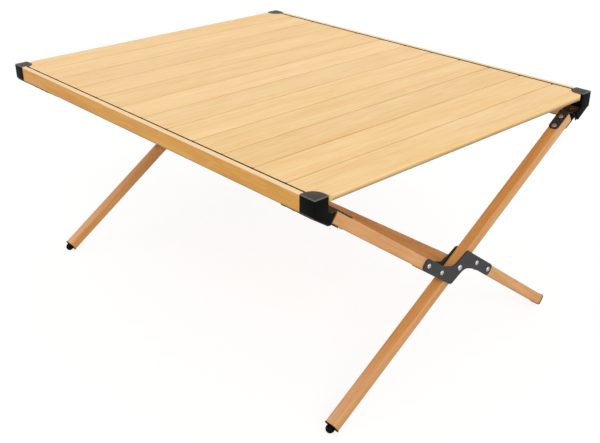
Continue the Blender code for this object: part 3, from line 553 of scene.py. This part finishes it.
def fastener(radius, head, dome, start, end, low_head=0.0):
    """A rivet or bolt along Z, with a head at its end and, where low_head is 1, at its start too."""
    return grow(fastener_maker, {"Shank": radius, "Head": head, "Head Height": dome, "Start": start,
                                 "End": end, "Low Head": low_head, "High Head": 1.0})


across = Matrix.Rotation(pi / 2, 4, "Y")
plate_outside = (leg_inner - 2 * FIT_GAP - PLATE_THICK, leg_outer + 2 * FIT_GAP + PLATE_THICK)
rivet_places = [(way, -LEG_OFFSET) for way in reversed(RIVET_STEPS)]
rivet_places += [(-way, LEG_OFFSET) for way in RIVET_STEPS]
for where, end in ENDS:
    mirror = Matrix.Diagonal((end, 1, 1, 1))
    for number, (way, offset) in enumerate(rivet_places, 1):
        rivet = fastener(RIVET_RADIUS, RIVET_HEAD, RIVET_DOME, *plate_outside, 1.0)
        place = PIVOT + plate_axes @ Vector((way, offset, 0))
        settle(rivet, mirror @ Matrix.Translation(place) @ across)
        hand_over(rivet, f"set_rivet_{where}_{number}", "leg_frame_a", "bright_steel",
                  f"plate_rivet_{where}_{number}")
    bolt = fastener(PIVOT_RADIUS, PIVOT_HEAD, PIVOT_DOME, plate_outside[0] - PIVOT_THREAD,
                    plate_outside[1])
    settle(bolt, mirror @ Matrix.Translation(PIVOT) @ across)
    hand_over(bolt, f"turning_bolt_{where}", "leg_frame_b", "bright_steel", f"pivot_bolt_{where}")

# Foot plugs
# Injection-moulded black nylon plugs, pushed into the lower end of each leg: a flange that
# caps the tube, and a round knob that stands on the ground, worn flat under its middle.
def moulded_nylon(name, low, high, sheen):
    """Nylon from a finely sparked mould: a cloudy tone, a fine grain and a broad, dim sheen."""
    nylon, tree = new_finish(name)
    spot = add_node(tree, "ShaderNodeTexCoord")
    spark = add_node(tree, "ShaderNodeTexNoise", {"Scale": 1100.0, "Detail": 2.0, "Roughness": 0.7},
                     {"Vector": spot.outputs["Object"]})
    tone = cloudy_tone(tree, spot, low, high, 60.0)[1]
    gloss = add_node(tree, "ShaderNodeMapRange", {"To Min": 0.38, "To Max": 0.58},
                     {0: spark.outputs["Fac"]})
    relief = add_node(tree, "ShaderNodeBump", {"Strength": 0.35, "Distance": 0.00025},
                      {"Height": spark.outputs["Fac"]})
    moulding = add_node(tree, "ShaderNodeBsdfPrincipled", {"IOR": 1.53, "Specular IOR Level": sheen},
                        {"Base Color": tone.outputs[2], "Roughness": gloss.outputs[0],
                         "Normal": relief.outputs[0]})
    add_node(tree, "ShaderNodeOutputMaterial", links={"Surface": moulding.outputs[0]})
    return nylon


black_nylon = moulded_nylon("moulded_nylon_black", "#060505", "#0C0B0B", 0.05)
for plug in ("foot_plug_a", "foot_plug_b", "stretcher_plug"):
    for where, _ in ENDS:
        refinish(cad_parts[f"{plug}_{where}"].data, black_nylon)

# Rails
# One extrusion along each side: a lip and a shelf that hold the slats' ends, over a box and a
# slanted foot. The film is wrapped round the extrusion. The lip's up-facing faces take a paler film,
# partly its paler print and partly painted light from above; the groove beside the slats takes a dark
# film of painted shade, and a strip along the lower edge takes a brown film of painted shade.
HALF_LENGTH, HALF_WIDTH, TABLE_HEIGHT, CAP_LENGTH = 0.4405, 0.350, 0.440, 0.0312
CAP_START = HALF_LENGTH - CAP_LENGTH
RAIL_END = CAP_START - FIT_GAP
RAIL_TONES, TONGUE_TONE, SIDES = {"a": 0.97, "b": 0.94}, 0.80, (("a", -1), ("b", 1))
RAIL_WALL, LIP_WIDTH, LIP_ROUND, LIP_EASE, SHELF_DOWN = 0.002, 0.009, 0.002, 0.001, 0.0113
FOOT_CUT, FOOT_STOP, TONGUE_END, TONGUE_LAP = 0.0142, 0.033, HALF_LENGTH - 0.0049, 0.001
# the foot's profile: how far in from the outer face and how far down from the top
FOOT_ROOT, FOOT_HEEL, FOOT_TIP, FOOT_EDGE = (0.026, 0.024), (0.040, 0.034), (0.031, 0.049), (0, 0.028)
# how far down the groove's painted shade ends and the lower edge's painted shade starts
GROOVE_END, LOWER_SHADE_START = 0.012, 0.026

rail_film = wood_film("wood_film_rail_amber", "#EAB055", "#DD9A3A", "#C37D27", "#9E5F1B", 11, 0.40)
# the lower edge's brown film and the groove's dark film are painted shade; the lip's paler film is partly
# painted light
lower_edge_painted_shade = wood_film("wood_film_rail_lower_edge_shaded", "#B98C4E", "#A97B3C", "#8E622A", "#6F491C", 11, 0.45)
lip_print_and_painted_light = wood_film("wood_film_lip_pale_and_painted_light", "#FBE2B8", "#F7D5A0", "#EBC184", "#DBAA66", 11, 0.40)
groove_painted_shade = wood_film("wood_film_groove_shaded", "#6E4A22", "#5E3D1A", "#4C2F12", "#3C240C", 11, 0.60)


def inset(points, distance):
    """Every side of a counter-clockwise outline, moved inwards by the same distance."""
    lines = []
    for index, point in enumerate(points):
        first, second = Vector(point), Vector(points[(index + 1) % len(points)])
        along = (second - first).normalized()
        lines.append((first + distance * Vector((-along.y, along.x)), along))
    moved = []
    for index, (base, along) in enumerate(lines):
        before, before_along = lines[index - 1]
        share = (base - before).cross(along) / before_along.cross(along)
        moved.append(tuple(before + share * before_along))
    return moved


def on_rail(*pairs):
    """Points given as how far in from the outer face and how far down from the top."""
    return [(HALF_WIDTH - inward, TABLE_HEIGHT - down) for inward, down in pairs]


lip_round = arc((HALF_WIDTH - LIP_ROUND, TABLE_HEIGHT - LIP_ROUND), LIP_ROUND, 0, pi / 2, 6)
lip_inner = arc((HALF_WIDTH - LIP_WIDTH + LIP_EASE, TABLE_HEIGHT - LIP_EASE), LIP_EASE, pi / 2, pi, 4)
rail_outline = [*on_rail((LIP_WIDTH, SHELF_DOWN), (0.047, SHELF_DOWN), (0.047, 0.0136), (0.026, 0.0136),
                         FOOT_ROOT, FOOT_HEEL, FOOT_TIP, (0.0004, 0.0285), (0, 0.0277), (0, 0.0267)),
                *lip_round, *lip_inner]
box_bore = on_rail((0.024, 0.0133), (0.024, 0.024), (0.002, 0.026), (0.002, 0.002), (0.007, 0.002),
                   (0.007, 0.0133))
foot_bore = inset(on_rail(FOOT_ROOT, FOOT_HEEL, FOOT_TIP, FOOT_EDGE), RAIL_WALL)
rail_axes = axes((0, 1, 0), (0, 0, 1), (1, 0, 0))
# the foot's slanted underside, from its tip up to the outer face: X along the rail, Z out of it
foot_tip, foot_edge = (Vector(point) for point in on_rail(FOOT_TIP, FOOT_EDGE))
slant = (foot_edge - foot_tip).normalized()
slant_out = Vector((slant.y, -slant.x))
slant_axes = axes((1, 0, 0), (0, slant.x, slant.y), (0, slant_out.x, slant_out.y))
slant_place = Matrix.Translation((0, foot_tip.x, foot_tip.y)) @ slant_axes
for letter, side in SIDES:
    rail = slab(rail_outline, -RAIL_END, RAIL_END, box_bore, foot_bore)
    refinish(rail, rail_film, lip_print_and_painted_light, groove_painted_shade, lower_edge_painted_shade)
    shade_of(rail, RAIL_TONES[letter], Vector((0.2 * side, 0.1, 1.7 + side)))
    settle(rail, Matrix.Diagonal((1, side, 1, 1)) @ rail_axes)
    # painted light on the up-facing lip over its paler print, painted shade in the groove and on the strip
    # along the lower edge
    for face in rail.polygons:
        inward, down = HALF_WIDTH - abs(face.center.y), TABLE_HEIGHT - face.center.z
        if face.normal.z > 0.3 and down < LIP_ROUND + LIP_EASE:
            face.material_index = 1
        elif inward > LIP_WIDTH - LIP_EASE / 2 and down < GROOVE_END:
            face.material_index = 2
        elif inward < LIP_EASE and down > LOWER_SHADE_START:
            face.material_index = 3
    hand_over(rail, f"side_rail_{letter}", f"rail_{letter}", "rail_wood_print", f"rail_{letter}")
    # under each cap only the foot's slanted wall goes on, cut back round the hinge
    for where, end in ENDS:
        tongue = slab([(RAIL_END - TONGUE_LAP, FOOT_CUT), (TONGUE_END, FOOT_CUT), (TONGUE_END, FOOT_STOP),
                       (RAIL_END - TONGUE_LAP, FOOT_STOP)], -RAIL_WALL, 0)
        tongue.transform(slant_place)
        refinish(tongue, rail_film)
        shade_of(tongue, TONGUE_TONE, Vector((0.4, 0.2 * side, 0.9 + end)))
        settle(tongue, Matrix.Diagonal((end, side, 1, 1)))
        hand_over(tongue, f"foot_tongue_{letter}_{where}", f"rail_{letter}", "rail_wood_print")

# Brackets and pins
# A black-coated steel bracket lies under the foot at each end of a rail, held by three flat
# rivets. Two ears, folded down from it, carry the hinge pin, which is a plain bright bar.
BRACKET_GAP, BRACKET_THICK, BRACKET_DEEP, BRACKET_SKEW = 0.0002, 0.0014, 0.024, 0.024
EAR_THICK, EAR_RADIUS, EAR_GAP, BRACKET_START, BRACKET_END_DEEP = 0.0022, 0.006, 0.0005, 0.334, 0.0365
BRACKET_LAP, BRACKET_STEP, NOTCH_DEEP = 0.001, 0.006, 0.014
BRACKET_EASE, EAR_ROUND_START, EAR_ROUND_END = 0.0003, 0.62 * pi, 1.40 * pi
FLAT_STEPS, FLAT_LINE, FLAT_RADIUS, FLAT_DOME = (0.0215, 0.0415, 0.0615), 0.013, 0.0022, 0.0007
FLAT_SINK = 0.003
ear_inner, ear_outer = CAP_START, leg_outer + EAR_GAP
notch_start, bracket_end = ear_inner + EAR_THICK, ear_outer + EAR_THICK
bracket_plan = [
    (BRACKET_START, -BRACKET_LAP), (notch_start, -BRACKET_LAP), (notch_start, NOTCH_DEEP),
    (ear_outer, NOTCH_DEEP), (ear_outer, -BRACKET_LAP), (bracket_end, -BRACKET_LAP),
    (bracket_end, BRACKET_END_DEEP), (CAP_START, BRACKET_END_DEEP), (CAP_START - BRACKET_STEP, BRACKET_DEEP),
    (BRACKET_START + BRACKET_SKEW, BRACKET_DEEP),
]


def joined(name, shells):
    """Several meshes as one."""
    work = bmesh.new()
    for shell in shells:
        work.from_mesh(shell)
    made = bpy.data.meshes.new(name)
    work.to_mesh(made)
    work.free()
    return made


ear_lean = atan2(slant_out.y, slant_out.x)
ear_root = [foot_tip + way * slant + (BRACKET_GAP + BRACKET_THICK / 2) * slant_out
            for way in (BRACKET_DEEP, -BRACKET_LAP)]
ear_arc = arc((PIN_Y, PIN_Z), EAR_RADIUS, ear_lean + EAR_ROUND_START, ear_lean + EAR_ROUND_END, 16)
ear_plan = [tuple(ear_root[0]), *ear_arc, tuple(ear_root[1])]
for letter, side in SIDES:
    for where, end in ENDS:
        plate = slab(bracket_plan, BRACKET_GAP, BRACKET_GAP + BRACKET_THICK)
        plate.transform(slant_place)
        shells = [plate]
        for low in (ear_inner, ear_outer):
            ear = slab(ear_plan, low, low + EAR_THICK)
            ear.transform(rail_axes)
            shells.append(ear)
        for along in FLAT_STEPS:
            rivet = fastener(FLAT_RADIUS, RIVET_HEAD, FLAT_DOME, -FLAT_SINK, BRACKET_GAP + BRACKET_THICK)
            rivet.transform(slant_place @ Matrix.Translation((BRACKET_START + along, FLAT_LINE, 0)))
            shells.append(rivet)
        bracket = joined("bracket", shells)
        settle(bracket, Matrix.Diagonal((end, side, 1, 1)))
        refinish(bracket, black_coat)
        piece = hand_over(bracket, f"hinge_bracket_plate_{letter}_{where}", f"rail_{letter}",
                          "black_steel", f"hinge_bracket_{letter}_{where}")
        soften(piece, BRACKET_EASE)
        refinish(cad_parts[f"hinge_pin_{letter}_{where}"].data, bright_zinc)

# Straps
# One strip of thin steel is folded round each hinge pin and lies on the leg's two faces, longer
# on the upper one. Two bolts in a rougher, darker zinc hold it, with a low dome on the upper face;
# their roughness is their finish, their darker tone painted shade.
STRAP_THICK, STRAP_WIDE, STRAP_UPPER, STRAP_LOWER, STRAP_BEND = 0.0016, 0.020, 0.057, 0.037, 0.014
STRAP_BOLTS, STRAP_DOME, STRAP_SINK, STRAP_EASE = (0.027, 0.050), 0.0015, 0.001, 0.0003
EYE_RADIUS, STRAP_CORNER = 0.0045, 0.007
# how near counts as the same place
NEAR = 0.0001

# a rougher zinc, darker in tone: the roughness is its finish, the darker tone is painted shade
dull_zinc_painted_shade = zinc_plating("zinc_plated_steel_dull_shaded", "#B4B0AE", "#989492", 500.0, 0.42, 0.58)

leaf = LEG_DEPTH / 2 + FIT_GAP + STRAP_THICK / 2
eye = Vector((0, -EYE_DROP))
upper_bend, lower_bend = Vector((-STRAP_BEND, leaf)), Vector((-STRAP_BEND, -leaf))
leave = atan2(*reversed(upper_bend - eye)) - acos(EYE_RADIUS / (upper_bend - eye).length)
back = atan2(*reversed(lower_bend - eye)) + acos(EYE_RADIUS / (lower_bend - eye).length)
strap_line = [Vector((-STRAP_UPPER, leaf)), upper_bend]
strap_line += [Vector(point) for point in arc(eye, EYE_RADIUS, leave, back, 24)]
strap_line += [lower_bend, Vector((-STRAP_LOWER, -leaf))]
strap_ways = [(after - point).normalized() for point, after in zip(strap_line, strap_line[1:])]
strap_left, strap_right = [], []
for point, before, after in zip(strap_line, strap_ways[:1] + strap_ways, strap_ways + strap_ways[-1:]):
    square = Vector((-before.y - after.y, before.x + after.x)).normalized()
    reach = STRAP_THICK / 2 / square.dot(Vector((-before.y, before.x)))
    strap_left.append(tuple(point + reach * square))
    strap_right.append(tuple(point - reach * square))
strap_axes = axes((0, 0, 1), (0, 1, 0), (-1, 0, 0))
for letter, tilt, side, offset, top in (("a", TILT_A, -1, -LEG_OFFSET, top_a), ("b", TILT_B, 1, 0, top_b)):
    for where, end in ENDS:
        turn = leg_turn(tilt, side, offset, end)
        strap = slab(strap_left + strap_right[::-1], -STRAP_WIDE / 2, STRAP_WIDE / 2)
        work = bmesh.new()
        work.from_mesh(strap)
        tips = []
        for edge in work.edges:
            first, second = (vert.co for vert in edge.verts)
            far_out = -STRAP_UPPER if first.y > 0 else -STRAP_LOWER
            if max(first.x, second.x) < far_out + NEAR and abs(first.z - second.z) < NEAR:
                tips.append(edge)
        bmesh.ops.bevel(work, geom=tips, offset=STRAP_CORNER, segments=8, affect="EDGES", profile=0.5)
        work.to_mesh(strap)
        work.free()
        settle(strap, turn @ Matrix.Translation((0, 0, top)) @ strap_axes)
        refinish(strap, black_coat)
        piece = hand_over(strap, f"folded_strap_{letter}_{where}", f"leg_frame_{letter}", "black_steel",
                          f"leg_strap_{letter}_{where}")
        soften(piece, STRAP_EASE)
        for number, way in enumerate(STRAP_BOLTS, 1):
            bolt = fastener(RIVET_RADIUS, RIVET_HEAD, STRAP_DOME, -LEG_DEPTH / 2 - STRAP_SINK,
                            leaf + STRAP_THICK / 2)
            refinish(bolt, dull_zinc_painted_shade)
            settle(bolt, turn @ Matrix.Translation((0, 0, top - way)) @ Matrix.Rotation(-pi / 2, 4, "X"))
            hand_over(bolt, f"strap_bolt_{letter}_{where}_{number}", f"leg_frame_{letter}", "bright_steel")

# End caps
# Moulded black nylon caps close the rails. Each is a block with a round inner corner, and a
# cheek that hangs from it to hide the hinge. The mould leaves a soft edge all round. The level
# top is painted grey, a painted reflection of the light overhead, and its rim and the soft edges
# below the outer face are painted paler still, a painted highlight.
CAP_DEPTH, CAP_DOWN, CAP_CORNER, CAP_PROUD, CAP_RIM = 0.027, 0.028, 0.020, 0.0005, 0.0016
CHEEK_THICK, CHEEK_TOP, CHEEK_BACK = 0.0045, 0.020, 0.0002
SPIGOT_REACH, SPIGOT_LAP, SPIGOT_GAP = 0.022, 0.003, 0.0004
# paler copies of the black nylon: a painted reflection for the top, a painted highlight for the rim
nylon_painted_reflection = moulded_nylon("moulded_nylon_painted_reflection", "#393029", "#433932", 0.12)
nylon_painted_highlight = moulded_nylon("moulded_nylon_painted_highlight", "#595556", "#666163", 0.2)
cap_face, cap_inner = HALF_WIDTH + CAP_PROUD, HALF_WIDTH - CAP_DEPTH
cap_plan = [(HALF_LENGTH, cap_inner), (HALF_LENGTH, cap_face), (CAP_START, cap_face),
            *arc((CAP_START + CAP_CORNER, cap_inner + CAP_CORNER), CAP_CORNER, pi, 1.5 * pi, 14)]
cap_low = TABLE_HEIGHT - CAP_DOWN - CAP_PROUD
cheek_outline = [(cap_inner + 0.001, TABLE_HEIGHT - CHEEK_TOP), *on_rail(FOOT_ROOT, FOOT_HEEL, FOOT_TIP),
                 (HALF_WIDTH - 0.0005, cap_low + 0.0004), (HALF_WIDTH - 0.006, TABLE_HEIGHT - CHEEK_TOP)]
for letter, side in SIDES:
    for where, end in ENDS:
        block = slab(cap_plan, cap_low, TABLE_HEIGHT + CAP_PROUD)
        cheek = slab(cheek_outline, HALF_LENGTH - CHEEK_THICK, HALF_LENGTH - CHEEK_BACK)
        cheek.transform(rail_axes)
        spigot = slab(inset(box_bore, SPIGOT_GAP), CAP_START - SPIGOT_REACH, CAP_START + SPIGOT_LAP)
        spigot.transform(rail_axes)
        shells = bmesh.new()
        for shell in (block, cheek):
            shells.from_mesh(shell)
        shells.normal_update()
        # the block's lower edge over the cheek stays sharp, so that both read as one face
        over_cheek = [edge for edge in shells.edges if all(
            vert.co.z < cap_low + NEAR and vert.co.x > HALF_LENGTH - NEAR for vert in edge.verts)]
        sharp = [edge for edge in shells.edges
                 if edge.calc_face_angle(0) > EDGE_TURN and edge not in over_cheek]
        bmesh.ops.bevel(shells, geom=sharp, offset=CAP_RIM, segments=3, affect="EDGES", profile=0.5)
        shells.from_mesh(spigot)
        cap = bpy.data.meshes.new("cap")
        shells.to_mesh(cap)
        shells.free()
        settle(cap, Matrix.Diagonal((end, side, 1, 1)))
        refinish(cap, black_nylon, nylon_painted_reflection, nylon_painted_highlight)
        # painted reflection on the level top; painted highlight on the soft edges round it and below the
        # outer face
        for face in cap.polygons:
            if face.center.z > TABLE_HEIGHT + CAP_PROUD - CAP_RIM:
                face.material_index = 1 if face.normal.z > 0.99 else 2
            elif 0.2 < -face.normal.z < 0.98 and abs(face.normal.y) > 0.2 and face.center.z > cap_low:
                face.material_index = 2
        hand_over(cap, f"corner_cap_{letter}_{where}", f"rail_{letter}", "black_plastic",
                  f"end_cap_{letter}_{where}")

# Slats
# Twelve hollow aluminium extrusions, 73 mm wide and 10 mm thick with two ribs inside, in the
# palest of the films. Their edges are rounded, and painted shade darkens the film over them, which
# draws the lines between the slats. The four corners are clipped, and the clipped faces and the
# slats' end faces take a film of painted shade, which leaves a dark notch at each seam.
SLAT_COUNT, SLAT_THICK, SLAT_RECESS, SLAT_END_GAP = 12, 0.010, 0.001, 0.004
SLAT_EDGE, SLAT_CLIP, SEAM_SHADE, LOW_EDGE_SHADE = 0.0022, 0.0025, 0.48, 0.60
SLAT_PITCH = 2 * (HALF_LENGTH - CAP_PROUD) / SLAT_COUNT
SLAT_WALL, SLAT_WIDTH = 0.0012, SLAT_PITCH - FIT_GAP
INFILL_REACH, INFILL_BACK, INFILL_START = 0.034, 0.001, 0.0105
slat_half_length = HALF_WIDTH - LIP_WIDTH - SLAT_END_GAP

slat_film = wood_film("wood_film_maple_pale", "#FCD99C", "#F7C982", "#E8B268", "#D49A50", 26, 0.42)
# dark film for the slats' end faces: painted shade
slat_end_painted_shade = wood_film("slat_end_shaded", "#6E4A22", "#5E3D1A", "#4C2F12", "#3C240C", 26, 0.60)

slat_maker, sizes = new_maker("slat_maker", "Slat", "Width", "Thickness", "Length", "Edge", "Wall")
skin = soft_corners(slat_maker, sizes["Width"], sizes["Thickness"], sizes["Edge"], 5)
# three cells side by side, with a wall round each
cell_height = add_node(slat_maker, "ShaderNodeMath", {1: -2.0},
                       {0: sizes["Wall"], 2: sizes["Thickness"]}, operation="MULTIPLY_ADD")
clear_width = add_node(slat_maker, "ShaderNodeMath", {1: -4.0},
                       {0: sizes["Wall"], 2: sizes["Width"]}, operation="MULTIPLY_ADD")
cell_width = add_node(slat_maker, "ShaderNodeMath", {1: 3.0}, {0: clear_width.outputs[0]},
                      operation="DIVIDE")
cell_step = add_node(slat_maker, "ShaderNodeMath", operation="ADD",
                     links={0: cell_width.outputs[0], 1: sizes["Wall"]})
cells = []
for step in (-1, 0, 1):
    cell = add_node(slat_maker, "GeometryNodeCurvePrimitiveQuadrilateral",
                    links={"Width": cell_width.outputs[0], "Height": cell_height.outputs[0]})
    shift = add_node(slat_maker, "ShaderNodeMath", {1: float(step)}, {0: cell_step.outputs[0]},
                     operation="MULTIPLY")
    shift_vector = add_node(slat_maker, "ShaderNodeCombineXYZ", links={"X": shift.outputs[0]})
    cells.append(add_node(slat_maker, "GeometryNodeTransform",
                          links={"Geometry": cell.outputs[0], "Translation": shift_vector.outputs[0]}))
half_back = add_node(slat_maker, "ShaderNodeMath", {1: -0.5}, {0: sizes["Length"]},
                     operation="MULTIPLY")
press_through(slat_maker, (*cells, skin), sizes["Length"], half_back.outputs[0], slat_film)


def cut_away(mesh, cutter, operation="DIFFERENCE"):
    """The mesh less the cutter, as a milling tool leaves it, or the two made one."""
    work = bpy.data.objects.new("work", mesh)
    tool = bpy.data.objects.new("tool", cutter)
    for item in (work, tool):
        bpy.context.collection.objects.link(item)
    step = work.modifiers.new("cut", "BOOLEAN")
    step.operation = operation
    step.solver = "EXACT"
    step.object = tool
    depsgraph = bpy.context.evaluated_depsgraph_get()
    made = bpy.data.meshes.new_from_object(work.evaluated_get(depsgraph), depsgraph=depsgraph)
    for item in (work, tool):
        bpy.data.objects.remove(item, do_unlink=True)
    return made


# what an end slat leaves free round a cap: 2.3 mm clear of it, then a rounded outer corner
CAP_GAP, SLAT_CORNER, CUT_OVER = 0.0023, 0.008, 0.01
corner_centre = (CAP_START + CAP_CORNER, cap_inner + CAP_CORNER)
slat_end_x = HALF_LENGTH - CAP_PROUD
corner_low = cap_inner - CAP_GAP
corner_plan = [
    *arc(corner_centre, CAP_CORNER + CAP_GAP, pi, 1.5 * pi, 20),
    *arc((slat_end_x - SLAT_CORNER, corner_low - SLAT_CORNER), SLAT_CORNER, pi / 2, 0, 10),
    (slat_end_x + CUT_OVER, corner_low - SLAT_CORNER), (slat_end_x + CUT_OVER, HALF_WIDTH),
    (CAP_START - CAP_GAP, HALF_WIDTH),
]
board_shades = (0.98, 1.01, 0.965, 1.0, 0.975, 1.02, 0.97, 1.005, 0.98, 0.96, 1.0, 0.985)
slat_axes = axes((1, 0, 0), (0, 0, 1), (0, -1, 0))
slat_corners = []
for across_way in (-1, 1):
    for along_way in (-1, 1):
        tip = Vector((across_way * SLAT_WIDTH / 2, -along_way * slat_half_length))
        aside, back_in = Vector((-across_way * SLAT_CLIP, 0)), Vector((0, along_way * SLAT_CLIP))
        clip = [tip + 2 * aside - back_in, tip - aside - back_in, tip - aside + 2 * back_in]
        corner = slab([tuple(point) for point in clip], -SLAT_THICK, SLAT_THICK)
        corner.transform(Matrix.Rotation(pi / 2, 4, "X"))
        slat_corners.append(corner)
clips = joined("clips", slat_corners)
for index in range(SLAT_COUNT):
    slat = grow(slat_maker, {"Width": SLAT_WIDTH, "Thickness": SLAT_THICK,
                             "Length": 2 * slat_half_length, "Edge": SLAT_EDGE, "Wall": SLAT_WALL})
    middle = (index - SLAT_COUNT / 2 + 0.5) * SLAT_PITCH
    place = Matrix.Translation((middle, 0, TABLE_HEIGHT - SLAT_RECESS - SLAT_THICK / 2)) @ slat_axes
    if index in (0, SLAT_COUNT - 1):
        # an end slat's outer cell is plugged at both ends, so that its cut corners show no hollow
        reach = 1 if index else -1
        inner, outer = sorted((reach * INFILL_START, reach * (SLAT_WIDTH - SLAT_WALL) / 2))
        flat = (SLAT_THICK - SLAT_WALL) / 2
        for side in (1, -1):
            low, high = sorted((side * (slat_half_length - INFILL_REACH),
                                side * (slat_half_length - INFILL_BACK)))
            infill = slab([(inner, -flat), (outer, -flat), (outer, flat), (inner, flat)], low, high)
            slat = cut_away(slat, infill, "UNION")
        for side in (1, -1):
            corner = slab(corner_plan, TABLE_HEIGHT - 3 * CUT_OVER, TABLE_HEIGHT + 2 * CUT_OVER)
            settle(corner, place.inverted() @ Matrix.Diagonal((reach, side, 1, 1)))
            slat = cut_away(slat, corner)
    slat = cut_away(slat, clips)
    shade_of(slat, board_shades[index], Vector((0.37 * index, 0.11 * index, 1.9 * index)))
    # painted shade over the rounded edges between slats; an end slat's outer edge is left out
    for tone, vertex in zip(slat.attributes["shade"].data, slat.vertices):
        round_share = max(0, 1 - (SLAT_WIDTH / 2 - abs(vertex.co.x)) / SLAT_EDGE)
        if (index, vertex.co.x > 0) not in ((0, False), (SLAT_COUNT - 1, True)):
            tone.value *= 1 - SEAM_SHADE * round_share ** 2
        elif vertex.co.y < 0:
            # painted shade: the top's outer edge darkens downwards
            tone.value *= 1 - LOW_EDGE_SHADE * round_share
    settle(slat, place)
    refinish(slat, slat_film, slat_end_painted_shade)
    # painted shade on the slats' end faces and clipped corners
    for face in slat.polygons:
        if abs(face.normal.y) > 0.5 and abs(face.center.y) > slat_half_length - SLAT_CLIP:
            face.material_index = 1
    hand_over(slat, f"top_slat_{index + 1:02d}", f"slat_{index + 1:02d}", "slat_wood_print",
              f"slat_{index + 1:02d}")
